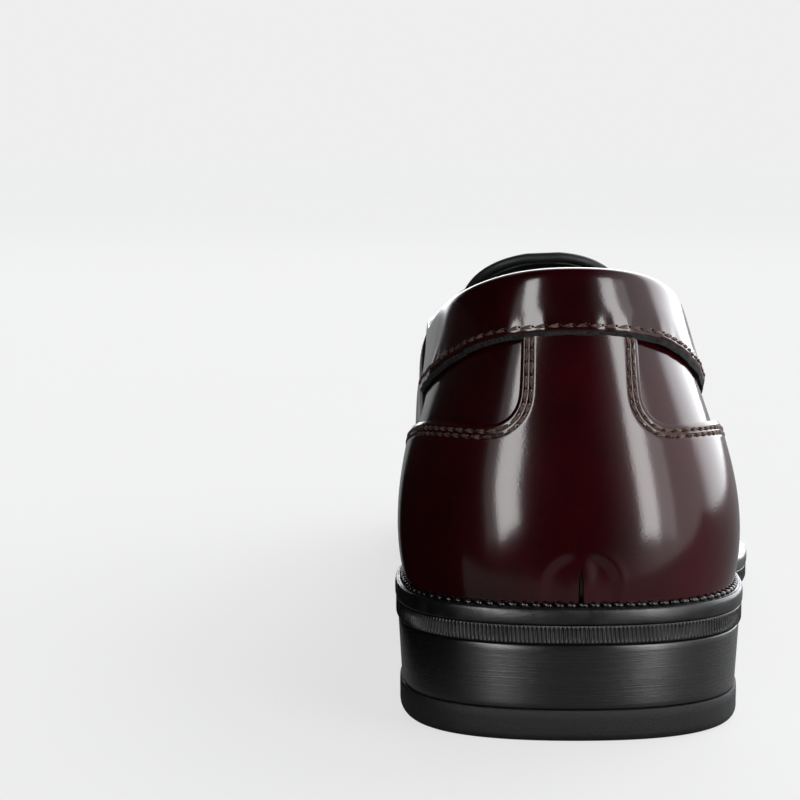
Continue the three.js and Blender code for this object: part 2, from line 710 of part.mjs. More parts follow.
// The two edges of the apron and tongue at share r, from the tip of the toe to the tongue's end.
const seamShare = 0.6; // the part of r that runs along the seam
function apronEdges(r, inset) {
  if (r <= seamShare) {
    const share = (r / seamShare) ** 0.8;
    return [
      topLoop(mix(0.5, apronOuter, share), inset),
      topLoop(mix(0.5, apronInner, share), inset),
    ];
  }
  const angle = ((r - seamShare) / (1 - seamShare)) * (Math.PI / 2);
  const [outer, inner] = apronEdges(seamShare, inset);
  const run = Math.sin(angle) ** 0.8;
  const width = Math.max(Math.cos(angle), 0) ** 0.5;
  const ends = [[outer, 1], [inner, -1]].map(([start, side]) => {
    const straight = mix(start.x, side * (tongueHalfWidth - inset), smooth(0, 1, run));
    return new THREE.Vector2(straight * width, mix(start.y, tongueEnd + inset, run));
  });
  return ends;
}

function apronLayer(inset, inner, outer, columns, rows, cutShare = 1) {
  return sheetSolid((s, r, face) => {
    const [a, b] = apronEdges(r * cutShare, inset);
    return apronPoint(mix(a.x, b.x, s), mix(a.y, b.y, s), face ? outer : inner);
  }, columns, rows);
}
add("apron", apronLayer(seamInset, -upperLeather, 0, 12, 32), "burgundyLeather");
add("tongue_lining", apronLayer(seamInset + 0.6, -(upperLeather + gap + liningLeather), -(upperLeather + gap),
  10, 30), "blackLeather");

// ---------------------------------------------------------------- upper: strap
// The strap crosses the instep from welt to welt. It is cut by a long slot over the middle.
const strapWallShare = 0.3; // the part of s that lies on each wall
const creaseLift = 2.3; // how far the strap stands off where the walls meet the apron
function strapPoint(s, q, depth) {
  const fromCrease = Math.min(Math.abs(s - strapWallShare), Math.abs(s - 1 + strapWallShare));
  const lifted = depth + creaseLift * (1 - smooth(0, 0.09, fromCrease));
  const wall = (side, v) => wallPoint(strapStation(q, v, side), mix(0.02, 1, v), lifted);
  if (s < strapWallShare) return wall("outer", s / strapWallShare);
  if (s > 1 - strapWallShare) return wall("inner", (1 - s) / strapWallShare);
  const share = (s - strapWallShare) / (1 - 2 * strapWallShare);
  const a = topPoint(strapStation(q, 1, "outer"));
  const b = topPoint(strapStation(q, 1, "inner"));
  return apronPoint(mix(a.x, b.x, share), mix(a.y, b.y, share), lifted);
}
// The strap rides over the crease between wall and apron in a smooth curve.
const strapColumns = 48;
const strapRows = 6;
function strapRow(q, depth) {
  let row = Array.from({ length: strapColumns + 1 }, (_, i) => strapPoint(i / strapColumns, q, depth));
  for (let pass = 0; pass < 6; pass++)
    row = row.map((p, i) =>
      i === 0 || i === strapColumns ? p : p.clone().multiplyScalar(2).add(row[i - 1]).add(row[i + 1]).divideScalar(4));
  return row;
}
const strapRise = gap + 0.5;
const strapGrid = [strapRise, strapRise + overlayLeather].map((depth) =>
  Array.from({ length: strapRows + 1 }, (_, j) => strapRow(j / strapRows, depth)));
const strapSheet = sheetSolid((s, r, face) =>
  strapGrid[face][Math.round(r * strapRows)][Math.round(s * strapColumns)], strapColumns, strapRows);

// The slot: a lens with pointed ends, cut square to the strap at its middle.
function slotTool() {
  const shape = new THREE.Shape();
  shape.moveTo(-slotLength / 2, 0);
  shape.quadraticCurveTo(0, slotWidth, slotLength / 2, 0);
  shape.quadraticCurveTo(0, -slotWidth, -slotLength / 2, 0);
  const depth = 16;
  const lens = new THREE.ExtrudeGeometry(shape, { depth, bevelEnabled: false, curveSegments: 10 });
  lens.translate(0, 0, -depth / 2);
  const centre = strapPoint(0.5, 0.5, strapRise);
  const ahead = strapPoint(0.5, 0.6, strapRise).sub(centre);
  lens.rotateX(Math.atan2(ahead.z, ahead.y));
  return lens.translate(centre.x, centre.y, centre.z);
}
add("strap", cut(strapSheet, slotTool()), "burgundyLeather");

// ---------------------------------------------------------------- the part's frame
const box = new THREE.Box3().setFromObject(loafer);
loafer.position.set(-(box.min.x + box.max.x) / 2, -(box.min.y + box.max.y) / 2, -box.min.z);

export default loafer;
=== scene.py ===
# %% [markdown]
# # A polished penny loafer, made as a shoemaker makes it
# The shoe is built over one last: a smooth solid form of the foot. Every piece of leather is a
# sheet laid on that form at its own depth, so this lesson describes the last once, as a few
# smooth curves, and lays grids on it. Grids on exact curves keep the long, unbroken reflections
# that polished leather needs, which a box pushed into shape by eye would lose.

# %% Load the frame
import math

import bmesh
import bpy
import numpy as np
from mathutils import Matrix, Quaternion, Vector


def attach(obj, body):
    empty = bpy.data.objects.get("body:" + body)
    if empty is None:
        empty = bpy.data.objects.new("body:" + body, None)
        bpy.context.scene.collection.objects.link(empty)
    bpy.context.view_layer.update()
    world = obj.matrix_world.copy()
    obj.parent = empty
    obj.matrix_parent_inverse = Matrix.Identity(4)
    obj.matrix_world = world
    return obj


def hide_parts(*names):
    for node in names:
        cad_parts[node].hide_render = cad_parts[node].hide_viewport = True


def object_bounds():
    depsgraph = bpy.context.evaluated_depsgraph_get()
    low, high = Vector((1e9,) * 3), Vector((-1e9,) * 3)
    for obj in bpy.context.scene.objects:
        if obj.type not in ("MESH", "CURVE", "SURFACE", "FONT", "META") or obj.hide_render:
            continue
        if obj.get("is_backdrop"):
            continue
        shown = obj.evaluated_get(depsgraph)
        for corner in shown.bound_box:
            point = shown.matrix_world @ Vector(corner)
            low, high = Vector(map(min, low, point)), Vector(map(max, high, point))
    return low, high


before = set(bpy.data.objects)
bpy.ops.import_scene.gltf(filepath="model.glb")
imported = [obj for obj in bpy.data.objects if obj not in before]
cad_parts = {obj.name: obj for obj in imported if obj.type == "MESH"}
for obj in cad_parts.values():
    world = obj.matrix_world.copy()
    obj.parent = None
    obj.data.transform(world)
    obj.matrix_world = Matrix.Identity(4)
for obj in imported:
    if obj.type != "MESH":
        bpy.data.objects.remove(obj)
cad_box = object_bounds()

print("nodes:", ", ".join(sorted(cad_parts)))

# %% [markdown]
# ## The camera
# A long lens close to the floor looks along the shoe from behind the heel, tilted a little
# down. The tilt frames the shoe, so the lens needs no shift. A shifted lens would keep upright
# lines upright, but there are none here that matter.

# %% The camera
def add_object(name, data):
    """A new object in the scene, at the origin."""
    made = bpy.data.objects.new(name, data)
    bpy.context.scene.collection.objects.link(made)
    return made


camera_data = bpy.data.cameras.new("camera")
camera_data.lens = 110.1
camera_data.sensor_width = 36
camera_data.clip_start = 0.01
camera_data.clip_end = 30
camera = add_object("camera", camera_data)
camera.location = (-0.0473, -0.6215, 0.1198)
DOWNWARD_TILT = 6.22
camera.rotation_euler = (math.radians(90 - DOWNWARD_TILT), 0, 0)
bpy.context.scene.camera = camera
print("camera", tuple(round(c, 3) for c in camera.location))

# %% [markdown]
# ## The last
# A last is known by its sections. The rows below run once round the foot, from the middle of
# the heel along the outer side to the toe and back. Each gives a point on the edge of the sole,
# a point on the upper's top edge with its height, and how far the wall bulges low and high
# between the two. A closed cubic B-spline through the rows has no corners in it, not even in
# its curvature, so highlights run over the leather without a break. All of this is in
# millimetres.

# %% The rows of the last
LAST = np.array([
    [0, -3, 0, 8.5, 93.6, 5.5, 3],
    [22, 0, 12.5, 11, 92.8, 8, 2.2],
    [37, 14, 20.5, 24, 88, 9, 1.8],
    [38.5, 42, 24, 48, 82, 8.8, 2],
    [36, 78, 27.5, 78, 75, 8, 2.2],
    [41, 115, 29.5, 108, 73, 7, 3],
    [54, 150, 31, 140, 71, 7, 5],
    [64, 185, 36.5, 178, 60, 8, 8],
    [64, 220, 37, 212, 50, 8.5, 8.5],
    [55, 258, 31, 244, 45, 8.5, 8.5],
    [40, 286, 21.5, 267, 43, 8, 8],
    [7, 303, 4, 279, 43, 8, 7.5],
    [-23, 289, -13, 270, 43, 8, 8],
    [-34, 262, -21, 248, 45, 8.5, 8.5],
    [-37, 228, -24.5, 219, 50, 8.5, 8.5],
    [-35, 195, -25.5, 188, 58, 8, 8],
    [-27.5, 158, -26.5, 152, 71, 8, 6],
    [-24, 122, -27, 118, 73.5, 8.5, 3],
    [-30, 84, -27, 82, 76.5, 8, 2],
    [-37.5, 46, -25.5, 50, 82.5, 8, 0.8],
    [-37, 14, -22, 24, 88, 8, 0.8],
    [-22, 0, -12.5, 11, 92.8, 7.6, 2.2],
], float)
SOLE_LENGTH, BALL_WIDTH, HEEL_WIDTH, BACK_HEIGHT = 298.0, 96.0, 73.0, 92.5
HEEL_RISE, TOE_SPRING = 19.6, 11.0
OUTSOLE, WELT, GAP = 4.0, 3.4, 0.3
HEEL_SHARE = [1, 1, 1, 1, 1, 0.52, 0.16, 0, 0, 0, 0, 0, 0]
SPRING_SHARE = [0] * 10 + [0.14, 0.5, 1]
RIDGE_HEIGHT = [93.7, 84.3, 75, 66, 58.5, 52.5, 48, 44.5, 41.5]
RIDGE_CENTRE = [0, 0.5, 1.5, 2.5, 3.5, 4, 4, 4, 4]
RIDGE_FALL = [49, 48, 43, 35, 28.5, 23, 19, 16, 14]


print("rows round the last:", len(LAST))

# %% Smooth curves through the rows
def spline_weights(f):
    return ((1 - f) ** 3 / 6, (3 * f**3 - 6 * f**2 + 4) / 6,
            (-3 * f**3 + 3 * f**2 + 3 * f + 1) / 6, f**3 / 6)


def loop_value(column, t):
    """The closed spline through one column of the last's rows, at t from 0 to 1."""
    values, count = LAST[:, column], len(LAST)
    place = np.mod(t, 1) * count
    first = np.floor(place).astype(int)
    weights = spline_weights(place - first)
    return sum(w * values[(first - 1 + k) % count] for k, w in enumerate(weights))


def line_value(values, s):
    """An open spline through evenly spaced values, at s from 0 to 1."""
    last = len(values) - 1
    padded = np.array([2 * values[0] - values[1], *values, 2 * values[-1] - values[-2]], float)
    place = np.clip(s, 0, 1) * last
    first = np.minimum(np.floor(place).astype(int), last - 1)
    return sum(w * padded[first + k] for k, w in enumerate(spline_weights(place - first)))


def mix(a, b, share):
    return a + (b - a) * share


def smooth(low, high, value):
    s = np.clip((value - low) / (high - low), 0, 1)
    return s * s * (3 - 2 * s)


def unit(vectors):
    return vectors / np.linalg.norm(vectors, axis=-1, keepdims=True)


def run_along(path):
    """How far along a path each of its points lies."""
    return np.concatenate([[0], np.cumsum(np.linalg.norm(np.diff(path, axis=0), axis=1))])


print("half-way across a smooth step:", smooth(0, 1, 0.5))

# %% Scale the last to its sizes
round_foot = np.linspace(0, 1, 2000, endpoint=False)
raw_x, raw_y = loop_value(0, round_foot), loop_value(1, round_foot)
raw_length = np.ptp(raw_y)
heel_scale = HEEL_WIDTH / np.ptp(raw_x[raw_y < raw_length / 4])
ball_scale = BALL_WIDTH / np.ptp(raw_x)
height_scale = BACK_HEIGHT / loop_value(4, np.array(0.0))


def scale_y(y):
    return (y - raw_y.min()) * SOLE_LENGTH / raw_length


def scale_x(x, y):
    return x * mix(heel_scale, ball_scale, smooth(SOLE_LENGTH * 0.25, SOLE_LENGTH * 0.6, y))


def sole_line(y):
    """The height of the sole's underside above the ground."""
    s = y / SOLE_LENGTH
    return HEEL_RISE * line_value(HEEL_SHARE, s) + TOE_SPRING * line_value(SPRING_SHARE, s)


def welt_base(y):
    return sole_line(y) + OUTSOLE + GAP


def welt_top(y):
    return welt_base(y) + WELT


def sole_edge(t, inset=0.0):
    """Points on the edge of the sole, pulled in by an inset, and the way out of the edge."""
    def at(u):
        y = scale_y(loop_value(1, u))
        return np.stack([scale_x(loop_value(0, u), y), y], -1)
    along = unit(at(t + 0.0005) - at(t - 0.0005))
    outward = np.stack([along[..., 1], -along[..., 0]], -1)
    return at(t) - outward * np.asarray(inset)[..., None], outward


edge_xy = sole_edge(np.arange(72) / 72)[0]
footprint_middle = (edge_xy.min(0) + edge_xy.max(0)) / 2


def to_scene(points):
    """From millimetres on the last to metres in the frame."""
    moved = np.array(points, float)
    moved[..., :2] -= footprint_middle
    return moved / 1000


print("middle of the footprint, mm:", footprint_middle.round(2))

# %% [markdown]
# ## Walls and apron
# The side walls are one surface, found by two numbers: t runs round the foot and v climbs from
# the welt to the top edge. A third, the depth, steps off along the surface's normal, and that
# is how lining, quarter, foxing and collar lie on each other. The apron over the toes is a
# second surface, a ridge that falls away to both sides.

# %% The two surfaces of the last
def welt_reach(y):
    return mix(3.8, 6.5, smooth(SOLE_LENGTH * 0.2, SOLE_LENGTH * 0.6, y))


def feather_point(t):
    edge = sole_edge(t)[0]
    xy = sole_edge(t, welt_reach(edge[..., 1]))[0]
    return np.concatenate([xy, (welt_top(xy[..., 1]) + GAP)[..., None]], -1)


def apron_height(x, y):
    s = (y / SOLE_LENGTH - 0.393) / (0.953 - 0.393)
    across = (x - line_value(RIDGE_CENTRE, s)) / (BALL_WIDTH / 2)
    return height_scale * (line_value(RIDGE_HEIGHT, s) - line_value(RIDGE_FALL, s) * across**2)


def top_point(t):
    y = scale_y(loop_value(3, t))
    x = scale_x(loop_value(2, t), y)
    share = smooth(SOLE_LENGTH * 0.38, SOLE_LENGTH * 0.44, y)
    z = mix(loop_value(4, t) * height_scale, apron_height(x, y), share)
    return np.stack([x, y, z], -1)


print("feather at the heel, mm:", feather_point(np.array(0.0)).round(1))

# %% Stepping off the surfaces
def wall_face(t, v):
    t, v = np.broadcast_arrays(np.asarray(t, float), np.asarray(v, float))
    outward = sole_edge(t)[1]
    bulge = 3 * (1 - v) ** 2 * v * loop_value(5, t) + 3 * (1 - v) * v**2 * loop_value(6, t)
    point = mix(feather_point(t), top_point(t), v[..., None])
    point[..., :2] += outward * bulge[..., None]
    return point


def wall_point(t, v, depth):
    """A point on the walls, stepped off the surface by the depth."""
    t, v, depth = np.broadcast_arrays(np.asarray(t, float), np.asarray(v, float),
                                      np.asarray(depth, float))
    along = wall_face(t + 0.001, v) - wall_face(t - 0.001, v)
    up = wall_face(t, v + 0.01) - wall_face(t, v - 0.01)
    normal = unit(np.cross(along, up))
    # At the foot the step is level, so that every layer meets the welt.
    normal[..., 2] *= smooth(0, 0.12, v)
    return wall_face(t, v) + unit(normal) * depth[..., None]


def apron_point(x, y, depth):
    x, y, depth = np.broadcast_arrays(np.asarray(x, float), np.asarray(y, float),
                                      np.asarray(depth, float))
    step = 0.05
    normal = np.stack([(apron_height(x - step, y) - apron_height(x + step, y)) / (2 * step),
                       (apron_height(x, y - step) - apron_height(x, y + step)) / (2 * step),
                       np.ones_like(x)], -1)
    return np.stack([x, y, apron_height(x, y)], -1) + unit(normal) * depth[..., None]


print("middle of the back, mm:", wall_point(0.0, 0.5, 0.0).round(1))

# %% Finding a place along the foot
def station_at(y, side):
    """Where a side of the foot, 1 for outer and -1 for inner, reaches y on the sole's edge."""
    t = np.linspace(0, 0.5, 3000)
    return side * np.interp(y, sole_edge(side * t)[0][..., 1], t)


def top_station_at(y, side):
    t = np.linspace(0.005, 0.5, 3000)
    return side * np.interp(y, top_point(side * t)[..., 1], t)


print("top of the back, mm:", top_point(np.array(0.0)).round(1))

# %% [markdown]
# ## Hand-worked leather is never quite even
# Over the last, leather swells and pulls by a tenth of a millimetre or so. A few long waves
# added to the depth make the edges of the highlights wander as they do on a real heel.

# %% Small swells in the leather
def swell(points):
    x, y, z = points[..., 0], points[..., 1], points[..., 2]
    slow = np.sin(x / 5.1 + z / 9.3) * np.sin(z / 6.7 - y / 8.1 + 1.3)
    quick = np.sin(x / 2.3 - z / 3.1 + 0.4) * np.sin(z / 2.6 + y / 3.7)
    return 0.05 * slow + 0.006 * quick


def leather_point(t, v, depth):
    return wall_point(t, v, depth + swell(wall_face(t, v)))


print("swell half-way up the back, mm:", swell(wall_face(0.0, 0.5)).round(3))

# %% [markdown]
# ## From a sheet to a piece
# Every skin starts as one flat grid whose corners are then put where a function says. Bridging
# many curves would give the same surface, but the grid says at each corner how far across and
# how far up it is, and stitches and edges need just that. Solidify gives the sheet its
# thickness and a narrow bevel softens its edges, so both can still be changed by one number.

# %% Turning grids into pieces
def mesh_of(bm, name):
    """Turns a bmesh into a mesh and lets the bmesh go."""
    mesh = bpy.data.meshes.new(name)
    bm.to_mesh(mesh)
    bm.free()
    return mesh


def soften(piece, width):
    """Rounds the sharp edges of a piece by a width in millimetres."""
    edges = piece.modifiers.new("soft_edges", "BEVEL")
    edges.width = width / 1000
    edges.segments = 2
    edges.limit_method = "ANGLE"
    edges.angle_limit = math.radians(50)


def make_piece(name, bm, materials, replaces=(), thickness=0.0, bevel=0.0):
    """An object from a bmesh, riding on the frame, with its wall and its softened edges."""
    mesh = mesh_of(bm, name)
    for polygon in mesh.polygons:
        polygon.use_smooth = True
    piece = add_object(name, mesh)
    for material in materials:
        mesh.materials.append(material)
    if thickness:
        wall = piece.modifiers.new("wall", "SOLIDIFY")
        wall.thickness = thickness / 1000
        wall.offset = -1
        wall.material_offset_rim = len(materials) - 1
    if bevel:
        soften(piece, bevel)
    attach(piece, "root")
    if replaces:
        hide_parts(*replaces)
    print(name, "faces:", len(mesh.polygons))
    return piece


def grid(place, columns, rows, close_s=False, close_r=False, raw=None):
    """A sheet of columns by rows, each corner put where place(s, r) says, in millimetres.

    Faces whose r lies below raw get the second material, the raw cut leather."""
    bm = bmesh.new()
    bmesh.ops.create_grid(bm, x_segments=columns, y_segments=rows, size=0.5)
    share = np.array([vert.co[:2] for vert in bm.verts]) + 0.5
    for vert, point in zip(bm.verts, to_scene(place(share[:, 0], share[:, 1]))):
        vert.co = point
    if raw:
        for face in bm.faces:
            face.material_index = int(max(share[v.index, 1] for v in face.verts) <= raw)
    if close_s or close_r:
        bmesh.ops.remove_doubles(bm, verts=bm.verts, dist=1e-5)
    return bm


print("helpers ready")

# %% [markdown]
# ## Finishes
# Effects that several finishes share are shader node groups, built once: the fine grain of
# leather, the cloudy tone of hand-rubbed dye, and streaks left by a brush. Each material
# places them with its own values. A picture of leather would be quicker, but it repeats and
# needs unwrapping. These read Object coordinates, so a pattern keeps its size on every piece.

# %% Shared effects
def new_group(name, inputs, outputs):
    group = bpy.data.node_groups.new(name, "ShaderNodeTree")
    for label, kind, default in inputs:
        socket = group.interface.new_socket(label, in_out="INPUT", socket_type=kind)
        if default is not None:
            socket.default_value = default
    for label, kind in outputs:
        group.interface.new_socket(label, in_out="OUTPUT", socket_type=kind)
    entry = group.nodes.new("NodeGroupInput")
    leave = group.nodes.new("NodeGroupOutput")
    return group, entry, leave


def node(tree, kind, links=(), **values):
    """A node with its settings, its plain input values and its incoming links."""
    made = tree.nodes.new(kind)
    for key, value in values.items():
        if hasattr(made, key):
            setattr(made, key, value)
    for socket, source in links:
        if isinstance(source, bpy.types.NodeSocket):
            tree.links.new(source, made.inputs[socket])
        else:
            made.inputs[socket].default_value = source
    return made


print("a group is made from named sockets")

# %% The grain of leather
def leather_grain_group():
    """Pores and fine creases of a calf skin, as a height."""
    group, entry, leave = new_group(
        "leather_grain",
        [("Vector", "NodeSocketVector", None), ("Pore size", "NodeSocketFloat", 0.0006),
         ("Creases", "NodeSocketFloat", 0.4)],
        [("Height", "NodeSocketFloat"), ("Pores", "NodeSocketFloat")])
    per_metre = node(group, "ShaderNodeMath", operation="DIVIDE",
                     links=[(0, 1.0), (1, entry.outputs["Pore size"])])
    cells = node(group, "ShaderNodeTexVoronoi", feature="SMOOTH_F1",
                 links=[("Vector", entry.outputs["Vector"]), ("Scale", per_metre.outputs[0]),
                        ("Smoothness", 0.6)])
    slower = node(group, "ShaderNodeMath", operation="MULTIPLY",
                  links=[(0, per_metre.outputs[0]), (1, 0.33)])
    folds = node(group, "ShaderNodeTexNoise",
                 links=[("Vector", entry.outputs["Vector"]), ("Scale", slower.outputs[0]),
                        ("Detail", 4.0), ("Distortion", 0.6)])
    weighed = node(group, "ShaderNodeMath", operation="MULTIPLY",
                   links=[(0, folds.outputs["Fac"]), (1, entry.outputs["Creases"])])
    height = node(group, "ShaderNodeMath", operation="ADD",
                  links=[(0, cells.outputs["Distance"]), (1, weighed.outputs[0])])
    group.links.new(height.outputs[0], leave.inputs["Height"])
    group.links.new(cells.outputs["Distance"], leave.inputs["Pores"])
    return group


print("grain can be made")

# %% Clouds and streaks
def cloudy_tone_group():
    """Soft patches, as where dye was rubbed in by hand, between 0 and 1."""
    group, entry, leave = new_group(
        "cloudy_tone",
        [("Vector", "NodeSocketVector", None), ("Patch size", "NodeSocketFloat", 0.02),
         ("Contrast", "NodeSocketFloat", 2.0)],
        [("Mask", "NodeSocketFloat")])
    per_metre = node(group, "ShaderNodeMath", operation="DIVIDE",
                     links=[(0, 1.0), (1, entry.outputs["Patch size"])])
    noise = node(group, "ShaderNodeTexNoise",
                 links=[("Vector", entry.outputs["Vector"]), ("Scale", per_metre.outputs[0]),
                        ("Detail", 5.0), ("Roughness", 0.6)])
    centred = node(group, "ShaderNodeMath", operation="SUBTRACT",
                   links=[(0, noise.outputs["Fac"]), (1, 0.5)])
    spread = node(group, "ShaderNodeMath", operation="MULTIPLY_ADD", use_clamp=True,
                  links=[(0, centred.outputs[0]), (1, entry.outputs["Contrast"]), (2, 0.5)])
    group.links.new(spread.outputs[0], leave.inputs["Mask"])
    return group


def streaks_group():
    """Fine streaks that a brush or sanding belt leaves along a surface."""
    group, entry, leave = new_group(
        "streaks",
        [("Vector", "NodeSocketVector", None), ("Stretch", "NodeSocketVector", (1, 1, 1))],
        [("Mask", "NodeSocketFloat"), ("Height", "NodeSocketFloat")])
    pulled = node(group, "ShaderNodeVectorMath", operation="MULTIPLY",
                  links=[(0, entry.outputs["Vector"]), (1, entry.outputs["Stretch"])])
    fine = node(group, "ShaderNodeTexNoise",
                links=[("Vector", pulled.outputs[0]), ("Scale", 1.0), ("Detail", 6.0),
                       ("Roughness", 0.7)])
    group.links.new(fine.outputs["Fac"], leave.inputs["Height"])
    ramp = node(group, "ShaderNodeMapRange",
                links=[("Value", fine.outputs["Fac"]), ("From Min", 0.35), ("From Max", 0.7)])
    group.links.new(ramp.outputs["Result"], leave.inputs["Mask"])
    return group


GRAIN = leather_grain_group()
CLOUDS = cloudy_tone_group()
STREAKS = streaks_group()
print("groups:", GRAIN.name, CLOUDS.name, STREAKS.name)

# %% [markdown]
# ## One recipe for most materials
# Every finish here is a dyed, dull or shiny body with two tones in patches, a varying
# roughness and a fine height. One recipe holds those, so that each finish is a short list of
# values. Polished leather also gets a clear coat: the wax that gives the hard white lights.

# %% The material recipe
def finish(name, dark, light, patch=0.02, contrast=2.0, rough=(0.4, 0.5), pore=0.0006,
           creases=0.4, bump=0.3, coat=0.0, coat_rough=0.1, specular=0.3, streaks=None,
           metallic=0.0, brushed=0.0, pore_tone=0.0):
    material = bpy.data.materials.new(name)
    material.use_nodes = True
    tree = material.node_tree
    tree.nodes.clear()
    out = tree.nodes.new("ShaderNodeOutputMaterial")
    body = tree.nodes.new("ShaderNodeBsdfPrincipled")
    tree.links.new(body.outputs[0], out.inputs[0])
    body.inputs["Metallic"].default_value = metallic
    body.inputs["Coat Weight"].default_value = coat
    body.inputs["Coat Roughness"].default_value = coat_rough
    body.inputs["Specular IOR Level"].default_value = specular
    body.inputs["Anisotropic"].default_value = brushed
    body.inputs["Anisotropic Rotation"].default_value = 0.25
    where = node(tree, "ShaderNodeTexCoord").outputs["Object"]
    clouds = node(tree, "ShaderNodeGroup", node_tree=CLOUDS)
    clouds.inputs["Patch size"].default_value = patch
    clouds.inputs["Contrast"].default_value = contrast
    tree.links.new(where, clouds.inputs["Vector"])
    grain = node(tree, "ShaderNodeGroup", node_tree=GRAIN)
    grain.inputs["Pore size"].default_value = pore
    grain.inputs["Creases"].default_value = creases
    tree.links.new(where, grain.inputs["Vector"])
    tone = node(tree, "ShaderNodeMix", data_type="RGBA")
    # The node keeps sockets for numbers and vectors too, so the colours are picked by type.
    ends = [socket for socket in tone.inputs if socket.type == "RGBA"]
    for end, colour in zip(ends, (dark, light)):
        end.default_value = (*colour, 1)
    blended = next(socket for socket in tone.outputs if socket.type == "RGBA")
    share = clouds.outputs["Mask"]
    height = grain.outputs["Height"]
    if pore_tone:
        speck = node(tree, "ShaderNodeMath", operation="MULTIPLY_ADD", use_clamp=True,
                     links=[(0, grain.outputs["Pores"]), (1, pore_tone), (2, share)])
        share = speck.outputs[0]
    if streaks:
        lines = node(tree, "ShaderNodeGroup", node_tree=STREAKS)
        lines.inputs["Stretch"].default_value = streaks
        tree.links.new(where, lines.inputs["Vector"])
        both = node(tree, "ShaderNodeMath", operation="MULTIPLY",
                    links=[(0, share), (1, lines.outputs["Mask"])])
        share = both.outputs[0]
        height = lines.outputs["Height"]
    tree.links.new(share, tone.inputs[0])
    tree.links.new(blended, body.inputs["Base Color"])
    shine = node(tree, "ShaderNodeMapRange",
                 links=[("Value", share), ("To Min", rough[0]), ("To Max", rough[1])])
    tree.links.new(shine.outputs["Result"], body.inputs["Roughness"])
    relief = node(tree, "ShaderNodeBump", links=[("Height", height)])
    relief.inputs["Strength"].default_value = bump
    relief.inputs["Distance"].default_value = 0.0001
    tree.links.new(relief.outputs[0], body.inputs["Normal"])
    if coat:
        tree.links.new(relief.outputs[0], body.inputs["Coat Normal"])
    return material


print("the recipe is ready")

# %% The finishes
burgundy = finish("burgundy_leather", (0.023, 0.0006, 0.0017), (0.064, 0.0013, 0.0046),
                  patch=0.03, contrast=2.4, rough=(0.42, 0.34), pore=0.0005, creases=0.5,
                  bump=0.05, coat=1.0, coat_rough=0.138, specular=0.006)
cut_edge = finish("cut_edge", (0.008, 0.008, 0.008), (0.055, 0.058, 0.056), patch=0.0007,
                  contrast=3.5, rough=(0.7, 0.9), pore=0.0002, bump=0.9, specular=0.15)
black_lining = finish("black_lining", (0.008, 0.009, 0.009), (0.018, 0.021, 0.02),
                      patch=0.012, rough=(0.42, 0.55), pore=0.0007, bump=0.35)
edge_black = finish("edge_black", (0.006, 0.006, 0.006), (0.020, 0.020, 0.019), patch=0.004,
                    contrast=3.0, rough=(0.28, 0.4), pore=0.0004, bump=0.2, specular=0.5)
brushed_heel = finish("brushed_heel", (0.004, 0.004, 0.004), (0.036, 0.035, 0.034),
                      patch=0.02, contrast=1.2, rough=(0.30, 0.22), bump=0.4, specular=0.75,
                      brushed=0.6, streaks=(45, 45, 3600))
heel_rubber = finish("heel_rubber", (0.009, 0.009, 0.009), (0.018, 0.018, 0.018),
                     patch=0.003, contrast=2.0, rough=(0.6, 0.72), pore=0.00035, bump=0.4)
brown_thread = finish("brown_thread", (0.055, 0.030, 0.022), (0.27, 0.175, 0.135),
                      patch=0.0014, contrast=3.5, rough=(0.5, 0.65), pore=0.00018, bump=0.9,
                      specular=0.12)
black_thread = finish("black_thread", (0.003, 0.003, 0.003), (0.010, 0.010, 0.010),
                      patch=0.001, contrast=3.0, rough=(0.22, 0.34), pore=0.0002, bump=0.4,
                      specular=0.5)
# Painted shade: a near-black finish for the dots that stand in for the shade inside stitch holes.
painted_hole_shade = finish("stitch_hole_painted_shade", (0.003, 0.002, 0.002), (0.01, 0.005, 0.005), patch=0.001,
                   rough=(0.8, 0.9))
tread_leather = finish("tread_leather", (0.010, 0.010, 0.010), (0.035, 0.033, 0.031),
                       patch=0.015, contrast=2.2, rough=(0.4, 0.6), pore=0.0005, bump=0.3)
cork_mix = finish("cork_mix", (0.12, 0.06, 0.028), (0.42, 0.26, 0.13), patch=0.0022,
                  contrast=5.0, rough=(0.85, 0.95), pore=0.0012, bump=1.0, pore_tone=0.3)
fibre_board = finish("fibre_board", (0.28, 0.18, 0.10), (0.45, 0.31, 0.18), patch=0.0016,
                     contrast=3.0, rough=(0.8, 0.9), pore=0.0004, bump=0.5)
pale_foam = finish("pale_foam", (0.55, 0.49, 0.34), (0.72, 0.66, 0.48), patch=0.002,
                   contrast=3.0, rough=(0.85, 0.95), pore=0.0009, bump=1.0, pore_tone=0.2)
drawn_steel = finish("drawn_steel", (0.42, 0.42, 0.43), (0.62, 0.62, 0.63), patch=0.006,
                     rough=(0.28, 0.4), bump=0.25, metallic=1.0, streaks=(900, 60, 900))
print("finishes:", len(bpy.data.materials))

# %% [markdown]
# ## What the shoe hides
# Between the lining and the outer leather lie a counter, a toe puff and collar padding, and
# under the foot an insole, a shank, cork and nails. Their solids are already the right shape
# and nobody sees them, so they stay and only get a finish.

# %% Finishes for the hidden nodes
HIDDEN = {
    "insole": fibre_board, "heel_seat_filler": fibre_board, "heel_counter": fibre_board,
    "toe_puff": fibre_board, "cork_filler": cork_mix, "collar_padding": pale_foam,
    "heel_pad": pale_foam, "shank": drawn_steel,
}
HIDDEN |= {name: drawn_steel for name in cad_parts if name.startswith("heel_nail")}
for name, material in HIDDEN.items():
    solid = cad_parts[name]
    solid.data.materials.clear()
    solid.data.materials.append(material)
print("hidden nodes:", len(HIDDEN))
